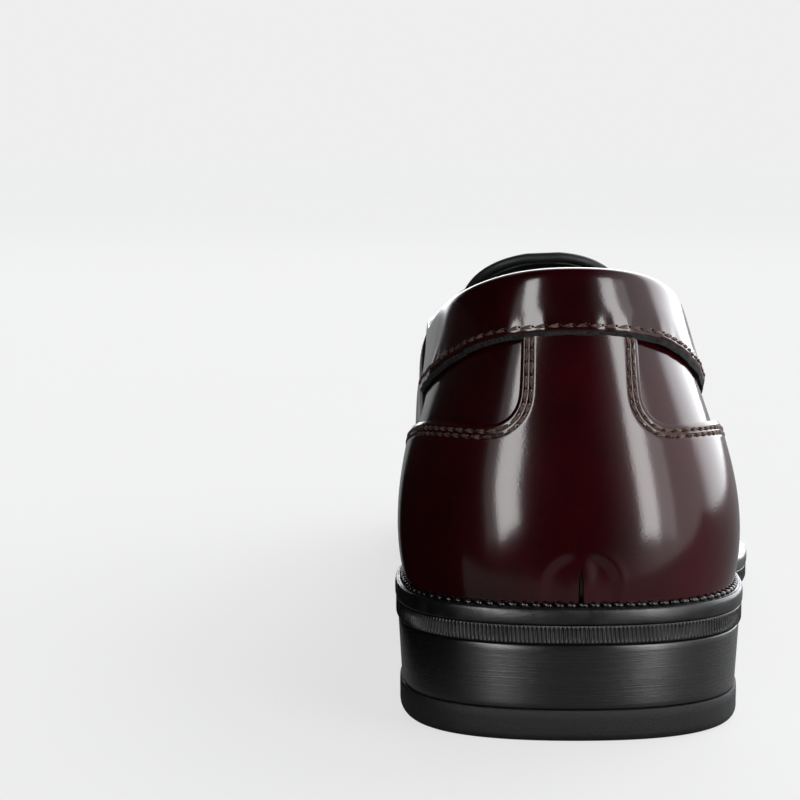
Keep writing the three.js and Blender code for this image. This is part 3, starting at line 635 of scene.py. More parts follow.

# %% [markdown]
# ## Stitches
# A row of stitches is many short lengths of twisted thread that dive into the leather at both
# ends. Each is two slim plies laid across each other, with a dark dot of painted shade where it
# dives into its hole. A row could be painted on as a bump, or a curve could carry copies. Small
# shapes joined in one mesh look right from the side as well, and each can lean a little its own
# way. Each has only a few dozen faces, because there are hundreds.

# %% A row of stitches
def even_path(points, pitch):
    """Points a pitch apart along a dense path, with the way along the path at each."""
    lengths = run_along(points)
    count = max(int(round(lengths[-1] / pitch)), 1)
    at = (np.arange(count) + 0.5) * lengths[-1] / count

    def along(distance):
        return np.stack([np.interp(distance, lengths, points[:, k]) for k in range(3)], -1)
    ahead = along(at + pitch / 4) - along(at - pitch / 4)
    return along(at), unit(ahead), at / lengths[-1]


def one_stitch(pitch, length, width, rise, twist, plies, hole_shade):
    """One stitch lying along X with its back on the leather: its plies and a painted shade dot for
    its hole.
    """
    bm = bmesh.new()
    for ply in range(plies):
        hand = ply * 2 - (plies - 1)
        shape = (Matrix.Rotation(math.radians(hand * twist), 4, "Z")
                 @ Matrix.Translation((0, hand * width * 0.00017, rise * 0.00005 * ply))
                 @ Matrix.Diagonal((length / 2000, width / (2000 * (1 + 0.35 * (plies - 1))),
                                    rise / 1000, 1)))
        bmesh.ops.create_uvsphere(bm, u_segments=8, v_segments=6, radius=1, matrix=shape)
    if hole_shade:
        thread_faces = set(bm.faces)
        # A flat dark dot at the stitch's end paints the shade inside its hole.
        shade_dot = (Matrix.Translation((pitch / 2000, 0, 0))
               @ Matrix.Diagonal((0.00030, 0.00026, 0.00014, 1)))
        bmesh.ops.create_uvsphere(bm, u_segments=6, v_segments=4, radius=1, matrix=shade_dot)
        for face in set(bm.faces) - thread_faces:
            face.material_index = 1
    return mesh_of(bm, "one_stitch")


print("one stitch can be made")

# %% Laying the stitches
def sew(name, path, normals, pitch, length, width, rise, thread, twist=16, lean=0,
        plies=2, hole_shade=True):
    """Lays stitches along a path; normals are the way out of the leather along the path."""
    one = one_stitch(pitch, length, width, rise, twist, plies, hole_shade)
    centres, ways, shares = even_path(path, pitch)
    spread = np.linspace(0, 1, len(normals))
    outs = np.stack([np.interp(shares, spread, normals[:, k]) for k in range(3)], -1)
    row = bmesh.new()
    placed = bpy.data.meshes.new("placed_stitch")
    for i, (centre, way, out) in enumerate(zip(to_scene(centres), ways, outs)):
        way, out = Vector(way), Vector(out).normalized()
        side = out.cross(way).normalized()
        out = way.cross(side).normalized()
        turn = Matrix((way, side, out)).transposed().to_4x4()
        wobble = lean + math.sin(i * 2.4) * 2.5 + math.sin(i * 1.1) * 1.5
        stitch = bmesh.new()
        stitch.from_mesh(one)
        stitch.transform(Matrix.Translation(centre) @ turn
                         @ Matrix.Rotation(math.radians(wobble), 4, "Z"))
        stitch.to_mesh(placed)
        stitch.free()
        row.from_mesh(placed)
    bpy.data.meshes.remove(one)
    bpy.data.meshes.remove(placed)
    made = make_piece(name, row, [thread, painted_hole_shade] if hole_shade else [thread])
    print(name, "stitches:", len(centres))
    return made


print("stitches can be sewn")

# %% [markdown]
# ## Quarters
# The two quarters wrap the heel and the sides and meet in a seam up the back. One sheet round
# the heel would look the same under the foxing, but two come apart as on the bench. They are
# plain sheets of the wall surface with 1.4 mm of thickness; their raw edges show dark.

# %% Quarters
VAMP_LINE = SOLE_LENGTH * 0.515
seam_outer, seam_inner = station_at(VAMP_LINE, 1), station_at(VAMP_LINE, -1)
UPPER = 1.4


def quarter(name, start, end):
    bm = grid(lambda s, r: leather_point(mix(start, end, s), r, 0.0), 150, 56)
    return make_piece(name + "_leather", bm, [burgundy, cut_edge], [name],
                      thickness=UPPER, bevel=0.25)


quarter("quarter_outer", 0.0005, seam_outer - 0.0006)
quarter("quarter_inner", seam_inner + 0.0006, -0.0005)
print("quarters laid")

# %% [markdown]
# ## Vamp
# The vamp wraps the toes. At its top edge it is gathered into the apron's seam, which pulls it
# into small even puckers, one for each stitch. Cloth simulation could gather it, at random; a
# wave in the depth keeps each pucker at its stitch.

# %% Vamp
SEAM_PITCH = 4.2
vamp_t = np.linspace(seam_outer, 1 + seam_inner, 600)
vamp_top = top_point(vamp_t)
vamp_run = run_along(vamp_top)


def vamp_point(s, r):
    t = mix(seam_outer + 0.0006, 1 + seam_inner - 0.0006, s)
    run = np.interp(t, vamp_t, vamp_run)
    pucker = 0.22 * np.cos(2 * np.pi * run / SEAM_PITCH) * smooth(0.8, 0.97, r)
    return leather_point(t, r, pucker)


make_piece("vamp_leather", grid(vamp_point, 420, 48), [burgundy, cut_edge],
           ["vamp"], thickness=UPPER, bevel=0.25)
print("vamp seam length, mm:", round(vamp_run[-1], 1))

# %% [markdown]
# ## Heel foxing
# The foxing is an upside-down T: two wings along the welt and a strip up the back, joined by
# round inside corners. To keep stitches and edge parallel, its outline is drawn on a flat
# chart of the wall, distance round the heel against height. Rings a little inside the outline
# follow the edge and the two stitch rows, and the rest of the sheet fans down to the welt.
# Each half is one grid. Over the heel's foot the halves part, which leaves the short dart
# that lets the leather turn under.

# %% The foxing's chart
chart_t = np.linspace(-0.26, 0.26, 2601)
chart_a = run_along(wall_face(chart_t, 0.55))
# The strip was laid on by hand, a little to the outer side of the last's middle line.
chart_a -= np.interp(0, chart_t, chart_a) + 0.6


def off_chart(a, z, depth):
    """From the chart, distance round and height, to a point on the wall."""
    t = np.interp(a, chart_a, chart_t)
    low, high = feather_point(t)[..., 2], top_point(t)[..., 2]
    return leather_point(t, (z - low) / (high - low), depth)


COLLAR_BACK, COLLAR_SIDE = 11.0, 15.4


def collar_leg(t):
    return mix(COLLAR_BACK, COLLAR_SIDE, smooth(0, SOLE_LENGTH * 0.16, top_point(t)[..., 1]))


print("band of the collar at the back, mm:", collar_leg(np.array(0.0)))

# %% The foxing's outline
FOXING_LENGTH = SOLE_LENGTH * 0.35
FOXING_HEIGHT, STRIP_HALF, FILLET = 35.0, 12.3, 5.7
WELT_LEVEL = float(welt_top(np.array(0.0))) + GAP
foxing_end = float(np.interp(station_at(FOXING_LENGTH, 1), chart_t, chart_a))


def wing_height(a):
    t = np.interp(a, chart_a, chart_t)
    fall = 14 * smooth(0, FOXING_LENGTH, sole_edge(t)[0][..., 1])
    return WELT_LEVEL - GAP + FOXING_HEIGHT - fall


def foxing_outline():
    """Half of the foxing's edge on the chart, from its front foot to under the collar."""
    quarter_turn = np.linspace(0, np.pi / 2, 14)
    nose = 15.0
    wing_a = foxing_end - nose
    front_z = float(welt_top(np.array(FOXING_LENGTH)))
    nose_top = float(wing_height(np.array(wing_a)))
    front = np.stack([wing_a + nose * np.cos(quarter_turn),
                      front_z + (nose_top - front_z) * np.sin(quarter_turn)], -1)
    along = np.linspace(wing_a, STRIP_HALF + FILLET, 90)
    wing = np.stack([along, wing_height(along)], -1)
    foot_z = float(wing_height(np.array(STRIP_HALF + FILLET)))
    fillet = np.stack([STRIP_HALF + FILLET * (1 - np.sin(quarter_turn)),
                       foot_z + FILLET * (1 - np.cos(quarter_turn))], -1)
    strip_top = BACK_HEIGHT - COLLAR_BACK + 3.5
    climb = np.linspace(0, 1, 30)
    strip = np.stack([STRIP_HALF + 1.5 * climb**1.5, mix(foot_z + FILLET, strip_top, climb)], -1)
    path = np.concatenate([front, wing[1:], fillet[1:], strip[1:]])
    lengths = run_along(path)
    even = np.linspace(0, lengths[-1], 361)
    path = np.stack([np.interp(even, lengths, path[:, k]) for k in range(2)], -1)
    for _ in range(24):
        path[1:-1] = (path[:-2] + 2 * path[1:-1] + path[2:]) / 4
    # Columns of the sheet stand close together where the outline turns.
    turn_in = lengths[len(front) + len(wing) - 2]
    turn_out = turn_in + FILLET * np.pi / 2
    share = [0, 0.1, 0.4, 0.74, 1]
    stops = [0, lengths[len(front) - 1], turn_in - 5, turn_out + 4, lengths[-1]]
    at = np.interp(np.linspace(0, 1, FOXING_COLUMNS + 1), share, stops)
    return np.stack([np.interp(at, even, path[:, k]) for k in range(2)], -1)


FOXING_COLUMNS = 240
outline = foxing_outline()
ahead = unit(np.gradient(outline, axis=0))
inward = np.stack([-ahead[:, 1], ahead[:, 0]], -1)
inward *= np.sign(inward[40] @ np.array([0, -1.0]))
print("half outline, mm:", round(float(run_along(outline)[-1])))

# %% The foxing
FOXING_DEPTH = 1.8
ROW_ONE, ROW_TWO, BAND = 1.35, 2.45, 4.2
SLIT_TOP = WELT_LEVEL + 8.8


def edge_shape(inside):
    """How the foxing's face lies near its edge: thinned at the edge, pulled down by thread."""
    skived = -0.35 * (1 - smooth(0, 0.9, inside))
    rows = sum(-0.22 * np.exp(-((inside - row) / 0.32) ** 2) for row in (ROW_ONE, ROW_TWO))
    return skived + rows


def half_foxing(side):
    """Half of the foxing: each column runs from the spine, welt then back line, to the edge."""
    rings = np.linspace(0, BAND, 15)[::-1]
    fan_rows = 40
    rows = fan_rows + len(rings) - 1
    spine = np.interp(np.linspace(0, 1, FOXING_COLUMNS + 1), [0, 0.1, 0.4, 0.56, 0.74, 1],
                      [0.3 - foxing_end, 17 - foxing_end, -15, 0, 30,
                       outline[-1, 1] - WELT_LEVEL])
    spine_a = np.maximum(-spine, 0)
    spine_t = np.interp(spine_a, chart_a, chart_t)
    spine_z = feather_point(spine_t)[..., 2] + 0.01 + np.maximum(spine, 0)

    def place(s, r):
        column = np.rint(s * FOXING_COLUMNS).astype(int)
        row = np.rint(r * rows).astype(int)
        tip, pull = outline[column], inward[column]
        inside = np.where(row > fan_rows, rings[np.clip(row - fan_rows, 0, 14)], BAND)
        ring = tip + pull * inside[:, None]
        climb = np.clip(row / fan_rows, 0, 1) ** 1.35
        a = np.maximum(mix(spine_a[column], ring[:, 0], climb), 0)
        z = mix(spine_z[column], ring[:, 1], climb)
        slit = 0.42 * smooth(0, 4.5, SLIT_TOP - z) * np.exp(-(a / 2.5) ** 2)
        arch = np.hypot(a, np.maximum(z - WELT_LEVEL - 4.2, 0))
        crease = (0.07 * np.exp(-((arch - 6.9) / 0.7) ** 2) - 0.34 * (1 - smooth(4.8, 6.5, arch))
                  - 0.22 * np.exp(-(a / 0.7) ** 2) * smooth(0, 3, SLIT_TOP + 1 - z))
        depth = FOXING_DEPTH + edge_shape(inside) + crease * smooth(0.05, 0.6, climb + a / 9)
        depth = depth - 1.1 * smooth(BACK_HEIGHT - COLLAR_BACK - 0.5,
                                     BACK_HEIGHT - COLLAR_BACK + 2, z)
        return off_chart(side * (a + slit), z, depth)

    return place, FOXING_COLUMNS, rows


def foxing():
    bm = bmesh.new()
    for side in (1, -1):
        place, columns, rows = half_foxing(side)
        half = grid(place, columns, rows)
        # The outer half runs towards the heel's middle, so its faces look in: turn them.
        if side == 1:
            bmesh.ops.reverse_faces(half, faces=half.faces)
        part = mesh_of(half, "half")
        bm.from_mesh(part)
        bpy.data.meshes.remove(part)
    bmesh.ops.remove_doubles(bm, verts=bm.verts, dist=5e-6)
    return make_piece("foxing_leather", bm, [burgundy, cut_edge],
                      ["heel_foxing"], thickness=1.5, bevel=0.22)


foxing()

# %% Sewing the foxing
for row, inside in (("first", ROW_ONE), ("second", ROW_TWO)):
    for label, side in (("outer", 1), ("inner", -1)):
        line = (outline + inward * inside)[2:]
        path = off_chart(side * line[:, 0], line[:, 1], FOXING_DEPTH - 0.12)
        outs = off_chart(side * line[:, 0], line[:, 1], FOXING_DEPTH + 0.88) - path
        sew(f"foxing_thread_{row}_{label}", path, outs, 2.7, 2.3, 0.76, 0.34, brown_thread,
            twist=9, lean=5 * side)
print("foxing sewn")

# %% [markdown]
# ## Collar
# The collar is a padded band turned over the top of the back. Its section is a soft roll
# between two legs; its lower edge is cut raw and stands a little off the quarters, below one
# row of stitches. A simulated pad would wrinkle, and this one is drawn tight, so its section
# is drawn once as a smooth curve through a few points and swept round the opening. Under the
# strap it flattens away.

# %% Collar
STRAP_REAR, STRAP_WIDTH = SOLE_LENGTH * 0.44, 29.0
STRAP_FOOT_REAR, STRAP_FOOT_WIDTH = SOLE_LENGTH * 0.426, 44.0
collar_front_outer = top_station_at(STRAP_REAR + 7, 1)
collar_front_inner = top_station_at(STRAP_REAR + 7, -1)
# How far along the leg (share of its height, then millimetres above the top edge), and depth.
COLLAR_SECTION = np.array([
    [-1.0, -1.1, 0.75], [-1.0, 0, 1.8], [-0.93, 0, 1.84], [-0.84, 0, 1.84], [-0.62, 0, 1.97],
    [-0.35, 0, 2.2], [-0.12, 0, 2.35], [0, 0.3, 1.95], [0, 1.05, 0.3], [0, 1.15, -2.0],
    [0, 0.6, -4.2], [0, -0.6, -5.5], [0, -3.0, -6.2], [0, -6.5, -6.1],
])


def collar_point(s, r, lift=0.0):
    t = mix(collar_front_inner, collar_front_outer, s)
    leg = collar_leg(t)
    up_share, up, depth = (line_value(COLLAR_SECTION[:, k], r) for k in range(3))
    top = top_point(t)
    tall = top[..., 2] - feather_point(t)[..., 2]
    tuck = 1 - 0.8 * smooth(STRAP_REAR - 5, STRAP_REAR + 1, top[..., 1])
    wave = 0.10 * np.sin(t * 260) + 0.05 * np.sin(t * 610 + 1)
    over_strip = 0.85 * (1 - smooth(STRIP_HALF, STRIP_HALF + 7, np.abs(top[..., 0])))
    above = np.maximum(up, 0) * tuck
    below = up_share * leg + np.minimum(up, 0)
    depth = depth * np.where(depth > 0, tuck, 1)
    depth = depth + wave * smooth(-0.6, -1.0, up_share) + over_strip * smooth(0, -0.7, up_share)
    surface = leather_point(t, 1 + below / tall, depth + lift)
    rise = unit(wall_face(t, 1.0) - wall_face(t, 0.98))
    return surface + rise * above[..., None]


print("collar ends at:", round(float(collar_front_inner), 3), round(float(collar_front_outer), 3))

# %% Laying and sewing the collar
collar = make_piece("collar_leather", grid(collar_point, 360, 65, raw=0.075), [burgundy, cut_edge],
                    ["collar"], thickness=1.35, bevel=0.22)
THREAD_ROW = 0.152
line_s = np.linspace(0.01, 0.99, 700)
thread_r = np.full_like(line_s, THREAD_ROW)
collar_row = collar_point(line_s, thread_r, 0.05)
sew("collar_thread", collar_row, collar_point(line_s, thread_r, 1.0) - collar_row, 2.8, 2.3,
    0.68, 0.3, brown_thread, twist=9, lean=7)

# %% [markdown]
# ## Linings
# Thin black leather lines the walls, the vamp and the apron. The same grids serve, laid deeper.
# The tongue's lining is turned round its edge as a fine rolled rim. That could be a second
# bevel, but a cord along the edge stays round where the tongue is cut to a curve.

# %% Linings
LINING_FACE = -3.2
make_piece("lining_of_quarters",
           grid(lambda s, r: leather_point(mix(seam_inner, seam_outer, s), r * 0.975,
                                           LINING_FACE), 240, 40),
           [black_lining], ["quarter_lining"], thickness=1.0)
make_piece("lining_of_vamp",
           grid(lambda s, r: leather_point(mix(seam_outer, 1 + seam_inner, s), r * 0.94,
                                           LINING_FACE), 200, 30),
           [black_lining], ["vamp_lining"], thickness=1.0)

# %% Apron and tongue
TONGUE_END, TONGUE_HALF = SOLE_LENGTH * 0.396, BALL_WIDTH * 0.26
apron_outer = float(top_station_at(VAMP_LINE + 8, 1))
apron_inner = float(top_station_at(VAMP_LINE + 8, -1))


def top_loop(t, inset):
    along = top_point(t + 0.001) - top_point(t - 0.001)
    outward = unit(np.stack([along[..., 1], -along[..., 0]], -1))
    return top_point(t)[..., :2] - outward * inset


def apron_edges(r, inset):
    """The two edges of apron and tongue, from the tip of the toe to the tongue's end."""
    share = np.clip(r / 0.6, 0, 1) ** 0.8
    outer = top_loop(mix(0.5, apron_outer, share), inset)
    inner = top_loop(mix(0.5, 1 + apron_inner, share), inset)
    angle = np.clip((r - 0.6) / 0.4, 0, 1) * np.pi / 2 * 0.985
    run = np.sin(angle) ** 0.8
    width = np.sqrt(np.maximum(np.cos(angle), 0))
    for edge, side in ((outer, 1), (inner, -1)):
        x = mix(edge[..., 0], side * (TONGUE_HALF - inset), smooth(0, 1, run)) * width
        y = mix(edge[..., 1], TONGUE_END + inset, run)
        on = r > 0.6
        edge[..., 0] = np.where(on, x, edge[..., 0])
        edge[..., 1] = np.where(on, y, edge[..., 1])
    return outer, inner


def tongue_flare(x, y):
    """Behind the strap the free end of the tongue opens flatter than the last."""
    return ((x / 15) ** 2 * 2.1 + x * 0.03 - 1.0) * (1 - smooth(TONGUE_END, STRAP_REAR - 1, y))


def apron_sheet(inset, depth, curl=0.0):
    def place(s, r):
        outer, inner = apron_edges(r, inset)
        xy = mix(outer, inner, s[:, None])
        low = curl * (2 * np.abs(s - 0.5)) ** 6 * (r < 0.75)
        points = apron_point(xy[:, 0], xy[:, 1], 0.0)
        return apron_point(xy[:, 0], xy[:, 1], depth + swell(points) - low
                           + tongue_flare(xy[:, 0], xy[:, 1]))
    return place


make_piece("apron_leather", grid(apron_sheet(0.9, 0.0), 90, 220, close_r=True), [burgundy, cut_edge],
           ["apron"], thickness=1.4, bevel=0.25)
make_piece("lining_of_tongue", grid(apron_sheet(1.6, -1.45), 60, 150, close_r=True), [black_lining],
           ["tongue_lining"], thickness=1.0, bevel=0.25)
print("apron and linings laid")

# %% A rolled rim round a path
def tube(path, ups, radius, sides=12):
    """A round cord along a path: a sheet rolled up round it, with both ends filled."""
    way = unit(np.gradient(path, axis=0))
    side = unit(np.cross(way, ups))
    up = np.cross(side, way)
    radius = np.broadcast_to(radius, len(path))

    def place(s, r):
        i = np.rint(s * (len(path) - 1)).astype(int)
        angle = (2 * np.pi * r)[:, None]
        return path[i] + (side[i] * np.sin(angle) + up[i] * np.cos(angle)) * radius[i, None]
    bm = grid(place, len(path) - 1, sides, close_r=True)
    bmesh.ops.holes_fill(bm, edges=[edge for edge in bm.edges if edge.is_boundary])
    bmesh.ops.recalc_face_normals(bm, faces=bm.faces)
    return bm


print("a cord can be laid along a path")

# %% The tongue's rim
rim_r = np.linspace(0.6, 1.0, 160)
rim_outer, rim_inner = apron_edges(rim_r, 1.2)
rim_xy = np.concatenate([rim_outer, rim_inner[::-1][1:]])
keep = np.concatenate([[True], np.linalg.norm(np.diff(rim_xy, axis=0), axis=1) > 0.15])
rim_xy = rim_xy[keep]
rim_path = apron_point(rim_xy[:, 0], rim_xy[:, 1],
                       tongue_flare(rim_xy[:, 0], rim_xy[:, 1]) - 1.0)
rim_up = apron_point(rim_xy[:, 0], rim_xy[:, 1], 0.0) - rim_path
make_piece("tongue_rim", tube(rim_path, rim_up, 1.25), [black_lining])
print("tongue rim, mm:", round(float(run_along(rim_path)[-1])))

# %% [markdown]
# ## The apron's seam
# Vamp and apron meet in a raised seam, sewn by hand over a ridge with one strong stitch for
# each pucker. It could be raised in the vamp's own sheet, but the sheet would have to turn
# over itself there. So the ridge is a cord along the top edge, pinched between stitches, and
# each stitch lies across it.

# %% Apron seam
seam_t = np.linspace(apron_outer + 0.002, 1 + apron_inner - 0.002, 900)
seam_path = wall_point(seam_t, 0.995, 0.55)
seam_run = run_along(seam_path)
seam_up = apron_point(seam_path[:, 0], seam_path[:, 1], 1.0) - apron_point(
    seam_path[:, 0], seam_path[:, 1], 0.0)
pinch = 1.35 + 0.14 * np.cos(2 * np.pi * seam_run / SEAM_PITCH)
make_piece("apron_ridge", tube(seam_path, seam_up, pinch, sides=14), [burgundy])
over_ridge = seam_path + seam_up * 1.05
sew("apron_thread", over_ridge, seam_up, SEAM_PITCH, 3.2, 0.8, 0.5, brown_thread,
    lean=74, hole_shade=False)

# %% [markdown]
# ## Strap
# The strap crosses the instep from welt to welt. It is a sheet that follows the wall, passes
# over the crease between wall and apron in a smooth bend, and has the long slot that names
# the shoe. The slot is cut with a lens-shaped tool, as a knife would, because a grid can't
# hold its pointed ends.

# %% Strap
CREASE_LIFT, WALL_SHARE = 2.3, 0.3
STRAP_COLUMNS, STRAP_ROWS = 144, 34


def strap_station(q, v, side):
    foot = station_at(STRAP_FOOT_REAR + STRAP_FOOT_WIDTH * q, side)
    top = top_station_at(STRAP_REAR + STRAP_WIDTH * q, side)
    return mix(foot, top, v)


def strap_row(q, depth):
    """One line across the instep, from the outer welt to the inner, rounded at the creases."""
    s = np.linspace(0, 1, STRAP_COLUMNS + 1)
    from_crease = np.minimum(np.abs(s - WALL_SHARE), np.abs(s - 1 + WALL_SHARE))
    lifted = depth + CREASE_LIFT * (1 - smooth(0, 0.09, from_crease))
    v_outer, v_inner = np.clip(s / WALL_SHARE, 0.01, 1), np.clip((1 - s) / WALL_SHARE, 0.01, 1)
    outer = wall_point(strap_station(q, v_outer, 1), v_outer, lifted)
    inner = wall_point(strap_station(q, v_inner, -1), v_inner, lifted)
    a = top_point(strap_station(q, np.array(1.0), 1))
    b = top_point(strap_station(q, np.array(1.0), -1))
    share = np.clip((s - WALL_SHARE) / (1 - 2 * WALL_SHARE), 0, 1)
    over = apron_point(mix(a[0], b[0], share), mix(a[1], b[1], share), lifted)
    row = np.where((s < WALL_SHARE)[:, None], outer, over)
    row = np.where((s > 1 - WALL_SHARE)[:, None], inner, row)
    for _ in range(54):
        row[1:-1] = (row[:-2] + 2 * row[1:-1] + row[2:]) / 4
    return row


STRAP_FACE = 0.8 + 1.5
strap_lines = np.array([strap_row(q, STRAP_FACE) for q in np.linspace(0, 1, STRAP_ROWS + 1)])


def strap_point(s, q):
    column = s * STRAP_COLUMNS
    first = np.minimum(np.floor(column).astype(int), STRAP_COLUMNS - 1)
    row = q * STRAP_ROWS
    low = np.minimum(np.floor(row).astype(int), STRAP_ROWS - 1)
    f, g = (column - first)[:, None], (row - low)[:, None]
    return mix(mix(strap_lines[low, first], strap_lines[low, first + 1], f),
               mix(strap_lines[low + 1, first], strap_lines[low + 1, first + 1], f), g)


def strap_out(s, q):
    """The way out of the strap's face."""
    step = 0.01
    along = strap_point(np.minimum(s + step, 1), q) - strap_point(np.maximum(s - step, 0), q)
    ahead = strap_point(s, np.minimum(q + step, 1)) - strap_point(s, np.maximum(q - step, 0))
    return unit(np.cross(ahead, along))


def strap_sheet(s, r):
    inside = np.minimum(r, 1 - r) * STRAP_WIDTH
    shape = -0.3 * (1 - smooth(0, 1.0, inside)) - 0.2 * np.exp(-((inside - 2.4) / 0.4) ** 2)
    shape = shape + 0.35 * np.exp(-((inside - 4.6) / 2.2) ** 2)
    points = strap_point(s, r)
    return points + strap_out(s, r) * (shape + swell(points))[:, None]


bm = grid(strap_sheet, STRAP_COLUMNS, STRAP_ROWS)
bmesh.ops.reverse_faces(bm, faces=bm.faces)
strap = make_piece("strap_leather", bm, [burgundy, cut_edge], ["strap"],
                   thickness=1.5)

# %% The slot in the strap
SLOT_LENGTH, SLOT_WIDTH, CUT_DEPTH = 34.0, 8.0, 12.0


def slot_cutter():
    """A lens-shaped prism, square to the strap at its middle."""
    half = np.linspace(-1, 1, 25)
    middle = strap_point(np.array([0.5]), np.array([0.5]))[0]
    out = strap_out(np.array([0.5]), np.array([0.5]))[0]
    side = np.array([1.0, 0, 0])
    forward = unit(np.cross(out, side))
    upper = [(x * SLOT_LENGTH / 2, SLOT_WIDTH / 2 * (1 - x * x)) for x in half]
    lower = [(x, -y) for x, y in upper[-2:0:-1]]
    corners = np.array([middle + side * x + forward * y - out * CUT_DEPTH / 2
                        for x, y in upper + lower])
    bm = bmesh.new()
    bmesh.ops.create_circle(bm, segments=len(corners), radius=1, cap_ends=True)
    for vert, corner in zip(bm.verts, to_scene(corners)):
        vert.co = corner
    grown = bmesh.ops.extrude_face_region(bm, geom=bm.faces[:])
    moved = [g for g in grown["geom"] if isinstance(g, bmesh.types.BMVert)]
    bmesh.ops.translate(bm, verts=moved, vec=Vector(out) * CUT_DEPTH / 1000)
    bmesh.ops.recalc_face_normals(bm, faces=bm.faces)
    cutter = add_object("slot_cutter", mesh_of(bm, "slot_cutter"))
    cutter.data.materials.append(cut_edge)
    return cutter


def cut_slot(piece):
    cutter = slot_cutter()
    knife = piece.modifiers.new("slot", "BOOLEAN")
    knife.object = cutter
    knife.operation = "DIFFERENCE"
    knife.solver = "EXACT"
    knife.material_mode = "TRANSFER"
    graph = bpy.context.evaluated_depsgraph_get()
    done = bpy.data.meshes.new_from_object(piece.evaluated_get(graph))
    piece.modifiers.clear()
    piece.data = done
    bpy.data.objects.remove(cutter)
    soften(piece, 0.25)
    print("strap faces after the cut:", len(done.polygons))


cut_slot(strap)
for label, q in (("rear", 2.4 / STRAP_WIDTH), ("front", 1 - 2.4 / STRAP_WIDTH)):
    s = np.linspace(0.015, 0.985, 500)
    q = np.full_like(s, q)
    path = strap_point(s, q) - strap_out(s, q) * 0.2
    sew(f"strap_thread_{label}", path, strap_out(s, q), 2.7, 2.3, 0.62, 0.28, brown_thread,
        twist=8, lean=5)

# %% [markdown]
# ## Welt
# The welt is the narrow shelf that the upper stands on. Its section has a rounded outer bead,
# a fine line turned into its top, and a gentle hollow where the stitches lie. A curve with a
# bevel profile would make it too, but it turns the section on tight bends. A grid joined to
# itself both ways keeps the section upright all round.

# %% Welt
WELT_SECTION = np.array([
    [6.0, 0.0], [3.0, 0.0], [0.5, -0.12], [0.2, -0.06], [0.1, 0.3], [0.06, 1.3], [0.08, 2.2],
    [0.18, 2.75], [0.42, 3.04], [0.66, 3.06], [0.86, 2.9], [1.06, 3.08], [1.4, 3.2],
    [2.0, 3.28], [2.7, 3.32], [3.4, 3.36], [6.0, 3.4], [11.0, 3.4], [11.0, 1.5], [11.0, 0.0],
    [6.0, 0.0],
])


def swept_edge(section, base, columns, name, material, replaces=(), ribs=None):
    """Sweeps (inset, height) round the sole's edge, joined to itself both ways."""
    def place(s, r):
        place_r = r * (len(section) - 1)
        low = np.minimum(np.floor(place_r).astype(int), len(section) - 2)
        corner = mix(section[low], section[low + 1], (place_r - low)[:, None])
        inset, height = corner[:, 0], corner[:, 1]
        if ribs is not None:
            inset = inset + ribs(s, height, inset)
        xy = sole_edge(s, inset)[0]
        return np.concatenate([xy, (base(xy[:, 1]) + height)[:, None]], -1)
    bm = grid(place, columns, len(section) - 1, close_s=True, close_r=True)
    bmesh.ops.recalc_face_normals(bm, faces=bm.faces)
    return make_piece(name, bm, [material], replaces)


swept_edge(WELT_SECTION, welt_base, 520, "welt_strip", edge_black, ["welt"])

# %% [markdown]
# ## Storm stitches
# Where the upper meets the welt, thick waxed black thread is laid in a row of plump twists.
# They close the joint against rain and frame the whole upper. The same sewing helper makes
# them, with one ply and no painted hole shade, because they touch each other.

# %% Storm stitches
storm_t = np.linspace(0, 1, 2400)
storm_edge = sole_edge(storm_t)[0]
out_by = np.where(storm_edge[:, 1] < FOXING_LENGTH, 2.25, 0.9)
out_by = np.convolve(np.concatenate([out_by[-40:], out_by, out_by[:40]]), np.ones(81) / 81,
                     "valid")
storm_xy = sole_edge(storm_t, welt_reach(storm_edge[:, 1]) - out_by)[0]
storm_path = np.concatenate([storm_xy, (welt_top(storm_xy[:, 1]) + 0.15)[:, None]], -1)
storm_out = np.concatenate([sole_edge(storm_t)[1] * 0.75, np.ones((len(storm_t), 1))], -1)
sew("storm_thread", storm_path, storm_out, 2.35, 2.15, 1.05, 0.52, black_thread,
    lean=-15, plies=1, hole_shade=False)

# %% [markdown]
# ## Sole edge
# A hot wheel is run round the edge of the outsole to press it into fine upright ribs. A bump
# would be lighter, but it stays flat at the outline. They are real ridges here, less than a
# millimetre apart, because the light picks out each one.

# %% Sole edge
RIB_PITCH = 0.86
edge_t = np.linspace(0, 1, 4001)
edge_line = sole_edge(edge_t)[0]
edge_run = run_along(edge_line)
rib_count = int(round(edge_run[-1] / RIB_PITCH))
EDGE_SECTION = np.array([
    [8.0, 0.4], [2.0, 0.3], [1.5, 0.3], [0.8, 0.3], [0.42, 0.42], [0.28, 0.7], [0.26, 1.3],
    [0.26, 2.0], [0.26, 2.7], [0.26, 3.4], [0.28, 3.8], [0.4, 4.0], [1.0, 4.1], [2.5, 4.1],
    [8.0, 4.0], [8.0, 0.4],
])


def rib(s, height, inset):
    turn = np.interp(s, edge_t, edge_run) / edge_run[-1] * rib_count * 2 * np.pi
    upright = smooth(0.35, 0.9, height) * smooth(3.9, 3.5, height) * (inset < 1.2)
    return 0.19 * (1 - np.sign(np.cos(turn)) * np.abs(np.cos(turn)) ** 0.6) * upright


swept_edge(EDGE_SECTION, sole_line, rib_count * 6, "outsole_edge", edge_black,
           ribs=rib)
print("ribs:", rib_count)

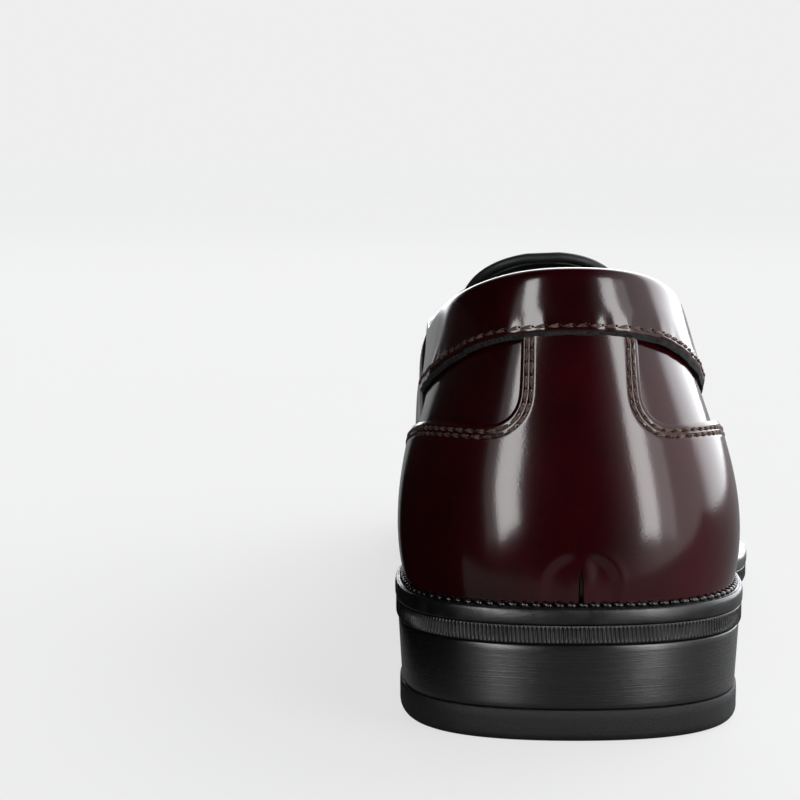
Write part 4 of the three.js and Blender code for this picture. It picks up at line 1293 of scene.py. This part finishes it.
# %% Tread
def across_sole(edge, height, rows):
    """A sheet under or in the shoe, in lines straight across from side to side."""
    def place(s, r):
        # Lines stand closer together at the heel and the toe, where the edge turns.
        t = 0.5 * mix(r, 0.5 - 0.5 * np.cos(np.pi * r), 0.6)
        xy = mix(edge(t), edge(-t), s[:, None])
        return np.concatenate([xy, height(xy[:, 1])[:, None]], -1)
    bm = grid(place, 40, rows)
    bmesh.ops.remove_doubles(bm, verts=bm.verts, dist=2e-6)
    return bm


make_piece("outsole_tread", across_sole(lambda t: sole_edge(t, 1.3)[0], sole_line, 200),
           [tread_leather, edge_black], ["outsole"], thickness=3.6)

# %% [markdown]
# ## Heel
# The heel block is blackened and brushed, so it is nearly matt with fine level streaks, and
# its front is hollowed. Under it lies the rubber top lift, a hair prouder, with its bottom
# edge rounded. Each could be an extruded outline with a taper. Here the outline is repeated at
# each level with its own inset, so that the taper and the round foot are one list of numbers.

# %% Heel block and top lift
HEEL_LENGTH = 71.0


def heel_outline(inset, hollow=3.0):
    """The heel's outline: the sole's edge as far as the breast, closed by a shallow arc."""
    start, end = station_at(HEEL_LENGTH, 1), station_at(HEEL_LENGTH, -1)
    back = sole_edge(np.linspace(end, start, 150), inset)[0]
    across = np.linspace(back[-1, 0], back[0, 0], 26)[1:-1]
    middle, half = (back[0, 0] + back[-1, 0]) / 2, abs(back[0, 0] - back[-1, 0]) / 2
    depth = hollow * (1 - ((across - middle) / half) ** 2)
    breast = np.stack([across, back[0, 1] - depth], -1)
    return np.concatenate([back, breast])


def heel_layer(name, levels, material, replaces):
    """The heel's outline at each level, as a sheet rolled up round it with both ends filled."""
    outlines = np.array([heel_outline(inset) for inset, _ in levels])
    heights = np.array([height for _, height in levels])

    def place(s, r):
        row = np.rint(r * (len(levels) - 1)).astype(int)
        column = np.rint(s * outlines.shape[1]).astype(int) % outlines.shape[1]
        return np.concatenate([outlines[row, column], heights[row, None]], -1)
    bm = grid(place, outlines.shape[1], len(levels) - 1, close_s=True)
    bmesh.ops.holes_fill(bm, edges=[edge for edge in bm.edges if edge.is_boundary])
    bmesh.ops.recalc_face_normals(bm, faces=bm.faces)
    return make_piece(name, bm, [material], replaces, bevel=0.3)


print("corners of the heel's outline:", len(heel_outline(0.0)))

# %% The heel's two layers
heel_levels = [(mix(1.55, 0.75, k / 10), mix(6.55, HEEL_RISE - 0.02, k / 10)) for k in range(11)]
heel_layer("heel_stack", heel_levels, brushed_heel, ["heel_block"])
LIFT_ROUND = 1.6
lift_levels = [(1.15 + LIFT_ROUND * (1 - math.sin(a)), LIFT_ROUND * (1 - math.cos(a)))
               for a in np.linspace(0, math.pi / 2, 7)]
lift_levels += [(1.15, 3.0), (1.12, 4.5), (1.15, 6.0), (1.35, 6.35)]
heel_layer("rubber_lift", lift_levels, heel_rubber, ["top_lift"])
print("heel levels:", len(heel_levels), len(lift_levels))

# %% [markdown]
# ## Inside the shoe
# The sock is a thin black leather that lies over the insole and rises over the heel pad. It is
# hardly seen, so draping it by simulation would be wasted; the sheet across the sole serves.

# %% Sock
PAD_BASE, PAD_RISE, SOCK = 3.3, 2.8, 1.2


def sock_edge(t):
    return sole_edge(t, welt_reach(sole_edge(t)[0][..., 1]) + 5.3)[0]


def sock_height(y):
    over_pad = PAD_RISE * (1 - smooth(HEEL_LENGTH + 12, HEEL_LENGTH + 28, y))
    return welt_top(y) + PAD_BASE + over_pad + SOCK


bm = across_sole(sock_edge, sock_height, 160)
bmesh.ops.reverse_faces(bm, faces=bm.faces)
make_piece("sock_leather", bm, [black_lining], ["sock_liner"], thickness=SOCK)

# %% [markdown]
# ## Light and floor
# Polished leather is lit by what it mirrors. Two tall soft boxes stand behind the camera, left
# and right, and draw the two long lights up the heel; the left one leans. They light no matt
# surface, which keeps the dye deep. Wider, weaker boxes round them feather their edges. The
# world mirrors pale in front and to the right and is dark behind the camera. The floor is one
# pale sheet in the tone of the backdrop, so the two run together.

# %% Floor and world
def stage_sheet(name, matrix, material):
    """A plain sheet, two metres square before its matrix, that isn't part of the shoe."""
    bm = bmesh.new()
    bmesh.ops.create_grid(bm, x_segments=1, y_segments=1, size=1, matrix=matrix)
    sheet = add_object(name, mesh_of(bm, name))
    sheet.data.materials.append(material)
    sheet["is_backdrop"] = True
    return sheet


def on_ground(low, high):
    """Stretches that sheet between two corners on the ground."""
    middle, half = (Vector(low) + Vector(high)) / 2, (Vector(high) - Vector(low)) / 2
    return Matrix.Translation((*middle, 0)) @ Matrix.Diagonal((*half, 1, 1))


floor_finish = finish("floor", (0.245, 0.245, 0.245), (0.255, 0.255, 0.255), patch=0.5,
                      rough=(0.7, 0.8), pore=0.01, bump=0.0, specular=0.0)
tree = floor_finish.node_tree
body = tree.nodes["Principled BSDF"]
body.inputs["Emission Color"].default_value = (1, 1, 1, 1)
glow = node(tree, "ShaderNodeMath", operation="MULTIPLY_ADD",
            links=[(0, node(tree, "ShaderNodeLightPath").outputs["Is Camera Ray"]), (1, 0.62),
                   (2, 0.08)])
tree.links.new(glow.outputs[0], body.inputs["Emission Strength"])
stage_sheet("floor", on_ground((-6, -0.22), (6, 9)), floor_finish)
# Behind the heel the floor is only there to be seen: the soft boxes reach below it.
behind = stage_sheet("floor_behind", on_ground((-6, -6), (6, -0.22)), floor_finish)
behind.visible_glossy = behind.visible_diffuse = behind.visible_shadow = False


print("floor laid")

# %% What the leather mirrors
world = bpy.data.worlds.new("studio")
bpy.context.scene.world = world
world.use_nodes = True
sky = world.node_tree
sky.nodes.clear()
sky_out = sky.nodes.new("ShaderNodeOutputWorld")
where = node(sky, "ShaderNodeTexCoord").outputs["Generated"]
split = node(sky, "ShaderNodeSeparateXYZ", links=[("Vector", where)])
ahead_right = node(sky, "ShaderNodeVectorMath", operation="DOT_PRODUCT",
                   links=[(0, where), (1, (0.55, 0.83, 0.0))])


def ramp(value, low, high, top):
    """Rises smoothly from 0 to top while the value goes from low to high."""
    return node(sky, "ShaderNodeMapRange", interpolation_type="SMOOTHSTEP",
                links=[("Value", value), ("From Min", low), ("From Max", high),
                       ("To Max", top)]).outputs["Result"]


def brighter(first, second):
    return node(sky, "ShaderNodeMath", operation="MAXIMUM",
                links=[(0, first), (1, second)]).outputs[0]


BRIGHTEST, DARKEST = 4.4, 0.006
lit = brighter(ramp(split.outputs["X"], 0.15, 0.9, 1.4),
               ramp(ahead_right.outputs["Value"], 0.52, 0.82, BRIGHTEST))
lit = brighter(lit, ramp(split.outputs["Z"], -0.25, -0.6, 0.22))
level = node(sky, "ShaderNodeMapRange",
             links=[("Value", lit), ("From Max", BRIGHTEST), ("To Min", DARKEST),
                    ("To Max", BRIGHTEST)])
studio = node(sky, "ShaderNodeBackground", links=[("Strength", level.outputs["Result"])])
studio.inputs["Color"].default_value = (0.95, 0.97, 1.0, 1)
backdrop = node(sky, "ShaderNodeBackground")
backdrop.inputs["Color"].default_value = (0.86, 0.86, 0.86, 1)
seen = node(sky, "ShaderNodeLightPath")
choose = node(sky, "ShaderNodeMixShader",
              links=[(0, seen.outputs["Is Camera Ray"]), (1, studio.outputs[0]),
                     (2, backdrop.outputs[0])])
sky.links.new(choose.outputs[0], sky_out.inputs["Surface"])
print("stage set")


# %% Soft boxes
def soft_box(name, location, target, size, power, lean=0):
    """A soft box aimed at a target; lean turns it round the way that it faces."""
    data = bpy.data.lights.new(name, "AREA")
    data.shape = "RECTANGLE"
    data.size, data.size_y = size
    data.energy = power
    lamp = add_object(name, data)
    lamp.location = location
    facing = (Vector(target) - Vector(location)).to_track_quat("-Z", "Y")
    lamp.rotation_euler = (facing @ Quaternion((0, 0, 1), math.radians(lean))).to_euler()
    lamp.visible_camera = False
    return lamp


heel_at = (-0.012, -0.14, 0.05)
for name, x, width, power, lean in (
        ("strip_left", -0.61, 0.28, 8.2, 24), ("strip_right", 0.60, 0.26, 6.6, 0),
        ("halo_left", -0.72, 0.50, 1.2, 26), ("halo_right", 0.80, 0.60, 3, 0)):
    strip = soft_box(name, (x, -0.95, 0.34), heel_at, (width, 1.06), power, lean)
    strip.visible_diffuse = name.startswith("halo")
soft_box("over_toe", (0.0, 1.5, 1.5), (0, 0, 0), (2.4, 1.4), 5)
bpy.context.scene.view_settings.view_transform = "Standard"
# A black card stands where the other shoe of the pair would be.
card_black = finish("card_black", (0.01, 0.01, 0.01), (0.02, 0.02, 0.02), patch=0.1,
                    rough=(0.9, 1.0), specular=0.0)
upright = (Matrix.Translation((-0.068, -0.09, 0.045)) @ Matrix.Rotation(math.pi / 2, 4, "Y")
           @ Matrix.Diagonal((0.045, 0.07, 1, 1)))
card = stage_sheet("black_card", upright, card_black)
card.visible_camera = card.visible_shadow = card.visible_diffuse = False

# %% Finish
boxes = {"cad": cad_box, "visual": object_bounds()}
boxes = {name: [list(map(float, corner)) for corner in box] for name, box in boxes.items()}
print("boxes, m:", boxes)
